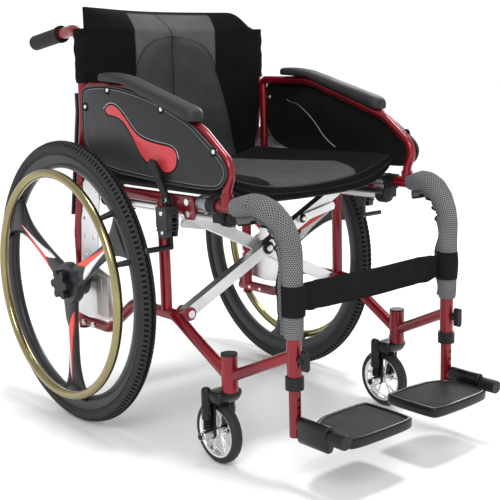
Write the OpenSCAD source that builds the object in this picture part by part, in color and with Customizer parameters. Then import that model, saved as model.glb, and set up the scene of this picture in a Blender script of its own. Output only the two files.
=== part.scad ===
// Folding manual wheelchair. The chair faces -Y, +Z is up, and X = 0 is its plane of symmetry.
// "Right" and "left" are the seated person's: right is -X, left is +X.
// The origin is on the floor, at the middle of the footprint.

/* [Rear wheels] */
// Outer radius of the rear wheels, to the tread
wheel_r = 305; // [290:1:310]
// Distance of a rear wheel's middle plane from the chair's middle plane
wheel_x = 305; // [303:1:320]
// Section radius of the rear tyre
tyre_r = 17; // [15:0.5:17]
// Radius of the hand rim, to the middle of its tube
hand_rim_r = 238.5; // [225:0.5:245]
// Distance of the hand rim's plane from the chair's middle plane
hand_rim_x = 342; // [340:1:352]
// Radius of the hand rim's tube
hand_rim_tube_r = 9.5; // [8:0.5:10]

/* [Side frames] */
// Distance of the side frames' tubes from the middle plane
rail_x = 242; // [240:1:244]
// Height of the seat rails
rail_z = 505; // [500:1:510]
// Radius of the frame tubes
tube_r = 12; // [11:0.5:12]
// Wall of the frame tubes
wall = 2; // [1.5:0.5:3]
// Height of the lower rail at the axle plate
low_z = 200; // [198:1:202]
// Height of the raised part of the lower rail
mid_z = 273; // [271:1:275]

/* [Front] */
// Distance of the caster stems from the middle plane
caster_x = 236; // [234:1:238]
// Distance of the caster stems ahead of the rear axle
caster_fwd = 448; // [440:1:452]
// Outer radius of the caster wheels
caster_r = 62.5; // [60:0.5:62.5]
// Distance of the caster axles behind the stems
trail = 37; // [34:1:40]
// Distance of the front tubes from the middle plane
hanger_x = 212; // [210:1:214]
// Distance of the front tubes ahead of the rear axle
hanger_fwd = 602; // [598:1:606]
// Height of the footplates' top
plate_z = 120; // [118:1:122]

/* [Folding frame] */
// Distance of the cross bars' lower pivots and of the seat tubes from the middle plane
cross_x = 214; // [213:1:214]
// Height of the cross bars' lower pivots
cross_low_z = 272; // [270:1:274]
// Height of the seat tubes
seat_tube_z = 480; // [478:1:482]
// Distance of the plane between the two cross bars ahead of the rear axle
cross_fwd = 277; // [276:0.5:278]

/* [Hidden] */

$fn = 48;
RIGHT = -1;
LEFT = 1;
// Radial clearance of a running fit, and of a tube that slides in a tube
run_fit = 0.05;
slide_fit = 0.3;
// How far a cutting solid runs past a face
past = 1;

// Foremost point of the chair ahead of the rear axle, the end of the footplate hinges
front_fwd = 728;
axle_y = (front_fwd - wheel_r) / 2;
axle_z = wheel_r;
axle_r = 6.35;

// Colours
red = [0.45, 0.03, 0.06];
black = [0.06, 0.06, 0.065];
rubber = [0.10, 0.10, 0.10];
silver = [0.80, 0.80, 0.82];
champagne = [0.62, 0.56, 0.40];
grey_mesh = [0.45, 0.46, 0.48];

// Y of a place that is fwd ahead of the rear axle
function ahead(fwd) = axle_y - fwd;
function unit(v) = v / norm(v);
function put(x, fwd, z) = [x, ahead(fwd), z];

// The left half is drawn, and mirrored for the right
module on_side(side) {
    mirror([side == RIGHT ? 1 : 0, 0, 0]) children();
}

// Straight round bar between two points
module bar(p, q, r) {
    d = q - p;
    translate(p)
        rotate([0, acos(d.z / norm(d)), atan2(d.y, d.x)])
            cylinder(r = r, h = norm(d));
}

// Bend of a round bar at the corner p, between the corners before and after
module bend_at(before, p, after, r, bend_r) {
    u = unit(p - before);
    w = unit(after - p);
    turn = acos(u * w);
    n = unit(w - u * (u * w));
    k = cross(-n, u);
    c = p - u * bend_r * tan(turn / 2) + n * bend_r;
    multmatrix([
        [-n.x, u.x, k.x, c.x],
        [-n.y, u.y, k.y, c.y],
        [-n.z, u.z, k.z, c.z],
        [0, 0, 0, 1]
    ])
        rotate_extrude(angle = turn) translate([bend_r, 0]) circle(r);
}

// Length that a bend takes off each side of corner i
function trim_at(pts, bends, i) =
    i == 0 || i == len(pts) - 1 ? 0
    : bends[i - 1] * tan(acos(unit(pts[i] - pts[i - 1]) * unit(pts[i + 1] - pts[i])) / 2);

// How far a straight stretch runs into a bend, and how much a bent tube bulges
bend_lap = 2;
bend_bulge = 0.15;

// Round bar that follows corners, with a bend radius for each inner corner
module run(pts, bends, r) {
    last = len(pts) - 1;
    for (i = [0 : last - 1]) {
        d = unit(pts[i + 1] - pts[i]);
        start = i == 0 ? 0 : trim_at(pts, bends, i) - bend_lap;
        end = i == last - 1 ? 0 : trim_at(pts, bends, i + 1) - bend_lap;
        bar(pts[i] + d * start, pts[i + 1] - d * end, r);
    }
    for (i = [1 : 1 : last - 1])
        bend_at(pts[i - 1], pts[i], pts[i + 1], r + bend_bulge, bends[i - 1]);
}

// Cylinders along X and along Y, from their first to their last coordinate
module x_rod(x0, x1, fwd, z, r) {
    translate([x0, ahead(fwd), z]) rotate([0, 90, 0]) cylinder(r = r, h = x1 - x0);
}
module y_rod(x, fwd0, fwd1, z, r) {
    translate([x, ahead(fwd0), z]) rotate([90, 0, 0]) cylinder(r = r, h = fwd1 - fwd0);
}
module z_rod(x, fwd, z0, z1, r) {
    translate([x, ahead(fwd), z0]) cylinder(r = r, h = z1 - z0);
}
// Box between two corners given as x, ahead, z
module block(x, fwd, z) {
    translate([x[0], ahead(fwd[1]), z[0]]) cube([x[1] - x[0], fwd[1] - fwd[0], z[1] - z[0]]);
}
// Plate across X whose outline is drawn as (ahead, z)
module side_plate(x0, x1) {
    translate([x0, axle_y, 0]) rotate([90, 0, 90]) linear_extrude(x1 - x0) mirror([1, 0]) children();
}
// Bar along Y whose outline is drawn as (x, z)
module front_plate(fwd0, fwd1) {
    translate([0, ahead(fwd0), 0]) rotate([90, 0, 0]) linear_extrude(fwd1 - fwd0) children();
}

// ---------------------------------------------------------------- side frame

rail_r = tube_r - 0.25;
mid_post_r = tube_r - 0.6;
front_bend = 90;
toe_in_fwd = 480;
sleeve_start_fwd = 490;
sleeve_end_z = 282;
hanger_r = 13.5;
hanger_bore_top_z = 270;
hanger_end_z = 188;
footrest_r = 11;
housing_r = 16;
housing_z = [152.5, 223];
stem_r = 12;
stay_r = 11;
handle_z = 842;
handle_end = [235, -216, 817];
handle_bend = 36;
post_fwd = [-62, -12];
post_bend_z = [400, 660];
post_foot_z = 187;
arm_x = 245;
arm_r = 9;
arm_foot_fwd = [11, 467];
arm_stop_z = 517;
socket_r = 12;
socket_top_z = [545, 529];
pivot_r = 5;
bar_t = 20;
bar_gap = 1;
ear_t = 4;
ear_gap = 1.5;
bracket_x = [254, 258];
plate_x = [257.2, 260.7];
spacer_x = 254.1;
rail_bolt_r = 4;
bolt_head_r = 6.5;
bracket_bolts = [[365, 507], [367, 484.5]];
plate_bolts = [[post_fwd[0], 245], [post_fwd[0], 290], [44, rail_z]];
rail_end_bolts = [[-42, low_z], [-3, low_z]];

rail_run = [
    put(rail_x, -42, rail_z), put(rail_x, toe_in_fwd, rail_z),
    put(hanger_x, hanger_fwd, rail_z), put(hanger_x, hanger_fwd, sleeve_end_z - 7)
];
rail_bends = [60, front_bend];
post_run = [
    put(rail_x, post_fwd[0], post_foot_z), put(rail_x, post_fwd[0], post_bend_z[0]),
    put(rail_x, post_fwd[1], post_bend_z[1]), put(rail_x, post_fwd[1], handle_z),
    put(handle_end.x, handle_end.y, handle_end.z)
];
post_bends = [120, 120, handle_bend];
low_run = [
    put(rail_x, -80, low_z), put(rail_x, 45, low_z), put(rail_x, 146, mid_z),
    put(rail_x, 289, mid_z), put(caster_x, caster_fwd, 180)
];
low_bends = [45, 45, 45];

// Middle of a cross bar along Y: the right side's bar is the front one
function bar_fwd(side) = cross_fwd - side * (bar_gap + bar_t) / 2;
// The two ears that hold the foot of the bar that pivots on this side
function ear_fwd(side, i) = bar_fwd(side) + (i == 0 ? -1 : 1) * (bar_t / 2 + ear_gap) - (i == 0 ? ear_t : 0);

module frame_tubes(inset) {
    run(rail_run, rail_bends, rail_r - inset);
    run(post_run, post_bends, tube_r - inset);
    run(low_run, low_bends, rail_r - inset);
    bar(put(rail_x, 261, mid_z), put(rail_x, 261, rail_z), mid_post_r - inset);
    bar(put(caster_x, caster_fwd, 180), put(hanger_x, hanger_fwd, 251), stay_r - inset);
}

module cross_ears(side) {
    for (i = [0, 1])
        difference() {
            union() {
                y_rod(cross_x, ear_fwd(side, i), ear_fwd(side, i) + ear_t, cross_low_z, 14);
                block([cross_x, rail_x], [ear_fwd(side, i), ear_fwd(side, i) + ear_t],
                    [cross_low_z - 12, cross_low_z + 8]);
            }
            y_rod(cross_x, ear_fwd(side, i) - past, ear_fwd(side, i) + ear_t + past,
                cross_low_z, pivot_r + run_fit);
        }
}

module brake_bracket() {
    difference() {
        side_plate(bracket_x[0] - 2, bracket_x[1])
            polygon([[303, 517], [375, 517], [384, 508], [386, 486], [378, 474], [356, 474], [346, 488], [303, 492]]);
        for (b = bracket_bolts)
            x_rod(bracket_x[0] - 3, bracket_x[1] + past, b[0], b[1], rail_bolt_r + run_fit);
    }
}

module side_frame(side) {
    color(red) on_side(side) {
        difference() {
            union() {
                difference() {
                    frame_tubes(0);
                    frame_tubes(wall);
                }
                z_rod(hanger_x, hanger_fwd, hanger_end_z, sleeve_end_z, hanger_r);
                z_rod(caster_x, caster_fwd, housing_z[0], housing_z[1], housing_r);
                for (i = [0, 1])
                    z_rod(arm_x, arm_foot_fwd[i], rail_z, socket_top_z[i], socket_r);
            }
            for (i = [0, 1])
                z_rod(arm_x, arm_foot_fwd[i], arm_stop_z, socket_top_z[i] + past, arm_r + slide_fit);
            z_rod(hanger_x, hanger_fwd, hanger_end_z - past, hanger_bore_top_z, footrest_r + slide_fit);
            z_rod(caster_x, caster_fwd, housing_z[0] - past, housing_z[1] + past, stem_r + run_fit);
            y_rod(hanger_x, hanger_fwd, hanger_fwd + 20, knob_z, knob_screw_r + run_fit);
            for (b = concat(plate_bolts, rail_end_bolts))
                x_rod(rail_x - 20, rail_x + 20, b[0], b[1], rail_bolt_r + run_fit);
        }
        cross_ears(side);
        brake_bracket();
    }
}

// ---------------------------------------------------------------- small frame pieces

grip_r = [tube_r + 0.05, 16.5];
module push_grip(side) {
    p = put(rail_x, post_fwd[1], handle_z);
    q = put(handle_end.x, handle_end.y, handle_end.z);
    d = unit(q - p);
    color(rubber) on_side(side)
        difference() {
            union() {
                bar(q - d * 118, q + d * 4, grip_r[1]);
                bar(q - d * 122, q - d * 114, grip_r[1] + 2);
            }
            bar(q - d * 130, q + d * 0.05, grip_r[0]);
        }
}

collar_z = [188, 211];
module frame_plugs(side) {
    color(black) on_side(side) {
        z_rod(caster_x, caster_fwd, housing_z[1], housing_z[1] + 4, housing_r);
        y_rod(rail_x, -85, -80, low_z, rail_r);
        z_rod(rail_x, post_fwd[0], post_foot_z - 4, post_foot_z, tube_r);
        difference() {
            z_rod(hanger_x, hanger_fwd, collar_z[0], collar_z[1], hanger_r + 3.5);
            z_rod(hanger_x, hanger_fwd, collar_z[0] - past, collar_z[1] + past, hanger_r + run_fit);
        }
    }
}

module x_bolt(x0, x1, fwd, z) {
    x_rod(x0, x1, fwd, z, rail_bolt_r);
    x_rod(x1, x1 + 4, fwd, z, bolt_head_r);
}
module frame_bolts(side) {
    color(silver) on_side(side) {
        for (b = plate_bolts) {
            x_bolt(rail_x - tube_r, plate_x[1], b[0], b[1]);
            x_rod(spacer_x, plate_x[0], b[0], b[1], bolt_head_r);
        }
        for (b = rail_end_bolts)
            x_bolt(rail_x - rail_r, rail_x + tube_r, b[0], b[1]);
        for (b = bracket_bolts)
            x_bolt(bracket_x[0] + 0.1, bracket_x[1], b[0], b[1]);
        y_rod(cross_x, ear_fwd(side, 0), ear_fwd(side, 1) + ear_t, cross_low_z, pivot_r);
        y_rod(cross_x, ear_fwd(side, 1) + ear_t, ear_fwd(side, 1) + ear_t + 4, cross_low_z, 8);
        y_rod(cross_x, ear_fwd(side, 0) - 4, ear_fwd(side, 0), cross_low_z, 8);
    }
}

// Spare holes that set the wheel's height
plate_hole_r = 4.5;
plate_hole_z = [360, 400, 440];
plate_hole_fwd = [-8, 26];
module axle_plate(side) {
    color(silver) on_side(side)
        difference() {
            side_plate(plate_x[0], plate_x[1])
                polygon([[-72, 224], [-10, 218], [84, 226], [84, 322], [39, 336], [43, 423], [56, 484], [55, 508],
                    [44, 518], [26, 525], [6, 526], [-5, 516], [-6, 479], [-20, 434], [-29, 340], [-72, 312]]);
            x_rod(plate_x[0] - past, plate_x[1] + past, 0, axle_z, axle_r + run_fit);
            for (b = plate_bolts)
                x_rod(plate_x[0] - past, plate_x[1] + past, b[0], b[1], rail_bolt_r + run_fit);
            for (z = plate_hole_z)
                for (fwd = plate_hole_fwd)
                    x_rod(plate_x[0] - past, plate_x[1] + past, fwd, z, plate_hole_r);
        }
}

block_outer_x = 268;
block_fwd = [38, 84];
block_z = [234, 322];
module axle_block(side) {
    color([0.62, 0.63, 0.64]) on_side(side)
        difference() {
            block([plate_x[1], block_outer_x], block_fwd, block_z);
            block([block_outer_x - 1, block_outer_x + past], [60, 63], [block_z[0] - past, block_z[1] + past]);
        }
}

// ---------------------------------------------------------------- rear wheels

rim_outer_r = 276;
rim_inner_r = 247;
rim_half_w = 13;
hub_x = [274, 322];
spoke_x = [299, 318];
spoke_turn = 30;
tab_turn = 13;
tab_r = 244;

// Solid of revolution about the rear axle; the profile is drawn as (radius, x)
module about_axle() {
    translate([0, axle_y, axle_z]) rotate([0, 90, 0]) rotate_extrude($fn = 96) children();
}

module tyre(side) {
    color(rubber) on_side(side)
        about_axle()
            difference() {
                translate([wheel_r - tyre_r, wheel_x]) circle(tyre_r);
                translate([rim_inner_r, wheel_x - 20]) square([rim_outer_r - rim_inner_r, 40]);
            }
}

// Half of a spoke's width at a distance from the hub: a slim waist that flares into the rim
function spoke_half(r) = 15 + 9 * pow((150 - min(r, 150)) / 110, 2) + 36 * pow(max(r - 150, 0) / 100, 2.6);
spoke_steps = [for (r = [30 : 20 : 250]) r];
module spoke_outline() {
    polygon(concat(
        [for (r = spoke_steps) [r, spoke_half(r)]],
        [for (i = [len(spoke_steps) - 1 : -1 : 0]) [spoke_steps[i], -spoke_half(spoke_steps[i])]]
    ));
}

module wheel(side) {
    color(black) on_side(side)
        difference() {
            union() {
                about_axle() translate([rim_inner_r, wheel_x - rim_half_w])
                    difference() {
                        square([rim_outer_r - rim_inner_r, 2 * rim_half_w]);
                        translate([6, 4]) square([17, 2 * rim_half_w - 8]);
                    }
                for (i = [0 : 2])
                    translate([spoke_x[0], axle_y, axle_z])
                        rotate([-(spoke_turn + 120 * i), 0, 0])
                            rotate([90, 0, 90]) linear_extrude(spoke_x[1] - spoke_x[0])
                                mirror([1, 0]) spoke_outline();
                x_rod(hub_x[0], hub_x[1], 0, axle_z, 30);
                x_rod(spoke_x[0] - 4, spoke_x[1] + 2, 0, axle_z, 44);
            }
            x_rod(hub_x[0] - past, hub_x[1] + past, 0, axle_z, axle_r + run_fit);
        }
}

module hand_rim(side) {
    color(champagne) on_side(side) {
        about_axle() translate([hand_rim_r, hand_rim_x]) circle(hand_rim_tube_r);
        for (i = [0 : 2])
            for (s = [-1, 1])
                translate([0, axle_y, axle_z])
                    rotate([-(spoke_turn + 120 * i + s * tab_turn), 0, 0])
                        translate([0, -tab_r - 3, 0]) rotate([0, 90, 0])
                            translate([0, 0, spoke_x[1]]) cylinder(r = 4, h = hand_rim_x - spoke_x[1] - 2);
    }
}

knob_x = [322, 338];
module release_axle(side) {
    color(black) on_side(side) {
        x_rod(plate_x[0] - 6, knob_x[0], 0, axle_z, axle_r);
        x_rod(knob_x[0], knob_x[1], 0, axle_z, 22);
        for (i = [0 : 5])
            translate([knob_x[0], axle_y, axle_z]) rotate([60 * i, 0, 0])
                translate([0, 24, 0]) rotate([0, 90, 0]) cylinder(r = 8.5, h = knob_x[1] - knob_x[0]);
    }
}

// ---------------------------------------------------------------- casters

caster_fwd_axle = caster_fwd - trail;
travel = 12;
caster_axle_r = 5;
leg_off = [15, 20];
shock_off = 29;
shock_r = 8;
shock_z = [92, 157];
spring_z = [72, 92];
crown_z = [140, 152];
spring_turns = 4;
wire_r = 1.4;

module both_sides_of(x) {
    for (s = [-1, 1]) translate([x, 0, 0]) mirror([s == 1 ? 0 : 1, 0, 0]) children();
}

module caster_fork(side) {
    color(black) on_side(side)
        union() {
            z_rod(caster_x, caster_fwd, crown_z[1] - 2, 219, stem_r);
            block([caster_x - 22, caster_x + 22], [caster_fwd_axle - 12, caster_fwd + 18], crown_z);
            both_sides_of(caster_x) {
                difference() {
                    union() {
                        block(leg_off, [caster_fwd_axle - 13, caster_fwd_axle + 13], [62, crown_z[1]]);
                        x_rod(leg_off[0], leg_off[1], caster_fwd_axle, caster_r, 13);
                    }
                    axle_slot();
                }
                z_rod(shock_off, caster_fwd_axle, shock_z[0], shock_z[1], shock_r);
                block([leg_off[0], shock_off], [caster_fwd_axle - 6, caster_fwd_axle + 6],
                    [shock_z[0] + 4, crown_z[1]]);
            }
        }
}

// Upright slot in which the caster axle rides
module axle_slot() {
    for (z = [caster_r, caster_r + travel])
        x_rod(leg_off[0] - past, leg_off[1] + past, caster_fwd_axle, z, caster_axle_r + 0.2);
    block([leg_off[0] - past, leg_off[1] + past],
        [caster_fwd_axle - caster_axle_r - 0.2, caster_fwd_axle + caster_axle_r + 0.2],
        [caster_r, caster_r + travel]);
}

module caster_axle(side) {
    color(silver) on_side(side) {
        x_rod(caster_x - 42, caster_x + 42, caster_fwd_axle, caster_r, caster_axle_r);
        both_sides_of(caster_x) {
            x_rod(leg_off[1] + 0.5, 40, caster_fwd_axle, caster_r, 9);
            x_rod(40, 46, caster_fwd_axle, caster_r, 7);
        }
    }
}

// Coil of round wire, swept along its helix
module coil(r, z0, z1, turns) {
    sides = 6;
    steps = 12 * turns;
    rise = (z1 - z0) / steps;
    ring = [for (i = [0 : steps]) for (j = [0 : sides - 1])
        let (a = 360 * turns * i / steps, b = 360 * j / sides, q = r + wire_r * cos(b))
            [q * cos(a), q * sin(a), z0 + rise * i + wire_r * sin(b)]];
    walls = [for (i = [0 : steps - 1]) for (j = [0 : sides - 1])
        let (a = i * sides + j, b = i * sides + (j + 1) % sides) [a, a + sides, b + sides, b]];
    ends = [[for (j = [0 : sides - 1]) j], [for (j = [sides - 1 : -1 : 0]) steps * sides + j]];
    polyhedron(points = ring, faces = concat(walls, ends), convexity = 6);
}

module caster_springs(side) {
    color(black) on_side(side)
        for (s = [-1, 1])
            translate([caster_x + s * shock_off, ahead(caster_fwd_axle), 0])
                coil(shock_r - wire_r, spring_z[0] + wire_r, spring_z[1] - wire_r, spring_turns);
}

module about_caster() {
    translate([caster_x, ahead(caster_fwd_axle), caster_r]) rotate([0, 90, 0])
        rotate_extrude($fn = 64) children();
}

module caster_wheel(side) {
    color(silver) on_side(side)
        difference() {
            union() {
                about_caster() translate([45, -9]) square([5, 18]);
                x_rod(caster_x - 13, caster_x + 13, caster_fwd_axle, caster_r, 11);
                for (i = [0 : 4])
                    translate([caster_x, ahead(caster_fwd_axle), caster_r]) rotate([72 * i + 18, 0, 0])
                        translate([-4, -4, 8]) cube([8, 8, 38]);
            }
            x_rod(caster_x - 20, caster_x + 20, caster_fwd_axle, caster_r, caster_axle_r + run_fit);
        }
}

module caster_tyre(side) {
    color(rubber) on_side(side)
        about_caster()
            intersection() {
                translate([50, -11]) square([caster_r - 50, 22]);
                translate([caster_r - 16, 0]) circle(16);
            }
}

// ---------------------------------------------------------------- armrests

arm_run = [
    put(arm_x, arm_foot_fwd[0], arm_stop_z + 0.1), put(arm_x, arm_foot_fwd[0], 720), put(arm_x, 170, 718),
    put(arm_x, 402, 642), put(arm_x, 486, 578), put(arm_x, arm_foot_fwd[1], 535),
    put(arm_x, arm_foot_fwd[1], arm_stop_z + 0.1)
];
arm_bends = [12, 160, 90, 34, 30];
panel_x = [256, 263];
panel_outline = [
    [14, 556], [14, 700], [26, 722], [120, 724], [244, 704.5], [330, 676], [384, 655], [398, 646],
    [452, 611], [484, 585], [487, 562], [470, 541], [440, 534], [300, 537]
];

module arm_tube(side) {
    color(red) on_side(side) run(arm_run, arm_bends, arm_r);
}

// Height of the pad's top along its length
function pad_top(fwd) = 748 - 0.0014 * pow(min(max(fwd - 100, 0), 100), 2) - 0.28 * max(fwd - 200, 0);
// Height of the pad's flat underside, which lies just above the arm tube
function pad_bottom(fwd) = 730.2 - 0.328 * max(fwd - 170, 0);
pad_steps = [for (f = [84 : 20 : 364]) f];
module arm_pad(side) {
    color(rubber) on_side(side)
        side_plate(227, 271)
            polygon(concat(
                [for (f = pad_steps) [f, pad_top(f)]],
                [[390, pad_top(390)], [395, pad_top(395) - 4], [392, 664], [384, pad_bottom(384)]],
                [[170, pad_bottom(170)], [84, pad_bottom(84)]]
            ));
}

module side_panel(side) {
    color(black) on_side(side)
        side_plate(panel_x[0], panel_x[1]) polygon(panel_outline);
}

// Flat strip behind the post, and the ring that hides the joint of the rail
strip_off = 14;
module rear_strip(side) {
    color(black) on_side(side) {
        side_plate(232, 252)
            polygon([[post_fwd[1] - strip_off, 706], [post_fwd[1] - strip_off, post_bend_z[1] + 8],
                [-69, 440], [-77, 440], [post_fwd[1] - strip_off - 8, post_bend_z[1] + 8],
                [post_fwd[1] - strip_off - 8, 706]]);
        difference() {
            y_rod(rail_x, 388, 417, rail_z, 15.5);
            y_rod(rail_x, 387, 418, rail_z, rail_r + run_fit);
        }
    }
}

// ---------------------------------------------------------------- brakes

lever_x = [267, 277];
lever_pivot = [308, 507.5];
shoe_pivot = [318, 470];
shoe_arm = 53;
shoe_slot_x = [262.5, 273.5];

module brake_body(side) {
    color(black) on_side(side) {
        difference() {
            side_plate(bracket_x[1], 288)
                polygon([[302, 496], [330, 496], [335, 488], [335, 462], [330, 438], [309, 436], [302, 462]]);
            block([shoe_slot_x[0], shoe_slot_x[1]], [280, 340], [430, 480.5]);
        }
        x_rod(shoe_slot_x[0], shoe_slot_x[1], shoe_pivot[0], shoe_pivot[1], 3);
        x_rod(bracket_x[1], lever_x[1] + 1, lever_pivot[0], lever_pivot[1], 4);
        side_plate(bracket_x[1], 263) polygon([[300, 490], [322, 490], [318, 514], [302, 514]]);
    }
}

module brake_lever(side) {
    color(black) on_side(side)
        difference() {
            union() {
                side_plate(lever_x[0], lever_x[1])
                    polygon([[300, 503], [315, 503], [293, 584], [281, 584], [279, 578]]);
                x_rod(lever_x[0], lever_x[1], lever_pivot[0], lever_pivot[1], 8.5);
                x_rod(lever_x[0], lever_x[1], 286.5, 581, 7);
            }
            x_rod(lever_x[0] - past, lever_x[1] + past, lever_pivot[0], lever_pivot[1], 4 + run_fit);
        }
}

module brake_shoe(side) {
    shoe_z = shoe_pivot[1] - shoe_arm;
    color(black) on_side(side)
        difference() {
            union() {
                block([264, 272], [shoe_pivot[0] - 5, shoe_pivot[0] + 5], [shoe_z, shoe_pivot[1]]);
                x_rod(264, 272, shoe_pivot[0], shoe_pivot[1], 7);
                x_rod(264, 324, shoe_pivot[0], shoe_z, 5.5);
            }
            x_rod(263, 273, shoe_pivot[0], shoe_pivot[1], 3 + run_fit);
        }
}

// ---------------------------------------------------------------- footrests

knob_z = 245;
knob_screw_r = 4;
hinge_x = 212;
hinge_z = 121;
hinge_half = 11;
hinge_rod_r = 8;
sleeve_fwd = [616, 690];
knob_start_fwd = 696;

module footrest_tube(side) {
    color(red) on_side(side) {
        difference() {
            union() {
                z_rod(hanger_x, hanger_fwd, 99, 262, footrest_r);
                y_rod(hinge_x, hanger_fwd, knob_start_fwd, hinge_z, hinge_rod_r);
            }
            z_rod(hanger_x, hanger_fwd, 130, 262 + past, footrest_r - wall);
            for (z = [140, 155, 170])
                y_rod(hanger_x, hanger_fwd, hanger_fwd + 20, z, 3);
        }
        y_rod(hinge_x, knob_start_fwd, front_fwd, hinge_z, 12.5);
    }
}

foot_inner_x = 27;
module footplate(side) {
    color(black) on_side(side)
        difference() {
            union() {
                translate([0, 0, plate_z - 20]) linear_extrude(20)
                    polygon([
                        [foot_inner_x, ahead(600)], [foot_inner_x + 8, ahead(596)], [154, ahead(601)],
                        [172, ahead(sleeve_fwd[0])], [hinge_x, ahead(sleeve_fwd[0])],
                        [hinge_x, ahead(sleeve_fwd[1])], [197, ahead(sleeve_fwd[1] + 2)], [195, ahead(718)],
                        [184, ahead(727)], [100, ahead(728)], [foot_inner_x + 8, ahead(726)],
                        [foot_inner_x, ahead(718)]
                    ]);
                y_rod(hinge_x, sleeve_fwd[0], sleeve_fwd[1], hinge_z + 8, hinge_half);
                block([hinge_x - hinge_half, hinge_x + hinge_half], sleeve_fwd, [90, hinge_z + 8]);
            }
            y_rod(hinge_x, sleeve_fwd[0] - past, knob_start_fwd, hinge_z, hinge_rod_r + run_fit);
            translate([0, 0, plate_z - 3]) linear_extrude(3 + past)
                polygon([
                    [foot_inner_x + 8, ahead(606)], [150, ahead(609)], [186, ahead(630)], [186, ahead(716)],
                    [foot_inner_x + 8, ahead(716)]
                ]);
        }
}

module wing_knob(side) {
    color(black) on_side(side) {
        y_rod(hanger_x, hanger_fwd + footrest_r + 0.2, hanger_fwd + hanger_r + 2, knob_z, knob_screw_r);
        y_rod(hanger_x, hanger_fwd + hanger_r + 2, hanger_fwd + 28, knob_z, 8);
        for (s = [-1, 1])
            y_rod(hanger_x, hanger_fwd + 22, hanger_fwd + 34, knob_z + s * 13, 6);
        block([hanger_x - 6, hanger_x + 6], [hanger_fwd + 22, hanger_fwd + 34], [knob_z - 13, knob_z + 13]);
    }
}

// ---------------------------------------------------------------- folding frame and seat

seat_tube_r = 11;
seat_tube_fwd = [18, 440];
bar_h = 24;
bar_foot_r = 12.6;
bar_head_gap = 4;

// A cross bar from its foot on its own side to the seat tube that it carries on the other side
module cross_bar(side) {
    f = bar_fwd(side);
    foot = [cross_x, cross_low_z];
    head = [-cross_x, seat_tube_z];
    tilt = atan2(head[1] - foot[1], foot[0] - head[0]);
    length = norm(head - foot) - bar_head_gap;
    color(silver) on_side(side) {
        difference() {
            union() {
                translate([foot[0], ahead(f), foot[1]]) rotate([0, tilt, 0])
                    translate([-length, -bar_t / 2, -bar_h / 2]) cube([length, bar_t, bar_h]);
                y_rod(foot[0], f - bar_t / 2 - 0.5, f + bar_t / 2 + 0.5, foot[1], bar_foot_r);
                y_rod(head[0], seat_tube_fwd[0], seat_tube_fwd[1], head[1], seat_tube_r);
            }
            y_rod(head[0], seat_tube_fwd[0] - past, seat_tube_fwd[1] + past, head[1], seat_tube_r - wall);
            y_rod(foot[0], f - bar_t, f + bar_t, foot[1], pivot_r + run_fit);
            y_rod(0, f - bar_t, f + bar_t, (foot[1] + head[1]) / 2, pivot_r + run_fit);
        }
        cross_link(side == RIGHT ? f + bar_t / 2 : f - bar_t / 2 - link_t);
    }
}

// Flat link on a bar's outer face, with its bolt
link_t = 6;
link_h = 8;
link_x = [-95, -190];
link_z = [428, 446];
module cross_link(fwd) {
    angle = atan2(link_z[1] - link_z[0], link_x[1] - link_x[0]);
    length = norm([link_x[1] - link_x[0], link_z[1] - link_z[0]]);
    front_plate(fwd, fwd + link_t)
        translate([link_x[0], link_z[0]]) rotate(angle)
            polygon([[-6, -link_h], [-link_h, 0], [-6, link_h], [length, link_h],
                [length + 4, 0], [length, -link_h]]);
    y_rod(link_x[0], fwd - 3, fwd + link_t + 3, link_z[0], 6);
}

module cross_bolt() {
    z = (cross_low_z + seat_tube_z) / 2;
    color(silver) {
        y_rod(0, cross_fwd - bar_t - 5, cross_fwd + bar_t + 5, z, pivot_r);
        y_rod(0, cross_fwd + bar_t + bar_gap, cross_fwd + bar_t + 5, z, 11);
        y_rod(0, cross_fwd - bar_t - 5, cross_fwd - bar_t - bar_gap, z, 11);
    }
}

saddle_r = [11.5, 17];
module saddle(fwd0, fwd1) {
    difference() {
        union() {
            y_rod(cross_x, fwd0, fwd1, seat_tube_z, saddle_r[1]);
            y_rod(rail_x, fwd0, fwd1, rail_z, 15.5);
            block([cross_x + saddle_r[0], rail_x], [fwd0, fwd1], [seat_tube_z - 8, rail_z]);
        }
        y_rod(cross_x, fwd0 - past, fwd1 + past, seat_tube_z, saddle_r[0]);
        y_rod(rail_x, fwd0 - past, fwd1 + past, rail_z, rail_r + run_fit);
        block([cross_x - 20, cross_x + saddle_r[0]], [fwd0 - past, fwd1 + past], [seat_tube_z, rail_z + 20]);
    }
}
module seat_saddles(side) {
    color(black) on_side(side) {
        saddle(419, 440);
        saddle(90, 111);
    }
}

toe_in = (rail_x - hanger_x) / (hanger_fwd - toe_in_fwd);
sleeve_r = 19;
sleeve_run = [
    put(rail_x - toe_in * (sleeve_start_fwd - toe_in_fwd), sleeve_start_fwd, rail_z),
    put(hanger_x, hanger_fwd, rail_z), put(hanger_x, hanger_fwd, sleeve_end_z + 1)
];
module leg_sleeve(side) {
    color(grey_mesh) on_side(side)
        difference() {
            run(sleeve_run, [front_bend], sleeve_r);
            run(sleeve_run, [front_bend], rail_r + run_fit);
        }
}

// Height of the seat's top across its width: it hangs between the seat tubes
function seat_top(x) = 532 + 36 * pow(abs(x) / 222, 2.5);
seat_half = 222;
seat_steps = [for (i = [-12 : 12]) seat_half * i / 12];
module seat_cushion() {
    color(black)
        front_plate(8, 445)
            polygon(concat(
                [for (i = [len(seat_steps) - 1 : -1 : 0]) [seat_steps[i], seat_top(seat_steps[i])]],
                [[-seat_half, 534], [-196, 518], [-150, 505], [-80, 495], [80, 495], [150, 505], [196, 518],
                    [seat_half, 534]]
            ));
}

back_half = 225;
module back_upholstery() {
    color(black)
        side_plate(-back_half, back_half)
            polygon([[5, 650], [5, 820], [-45, 878], [-75, 870], [-28, 815], [-23, 650], [-50, 500],
                [-22, 500]]);
}

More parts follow.
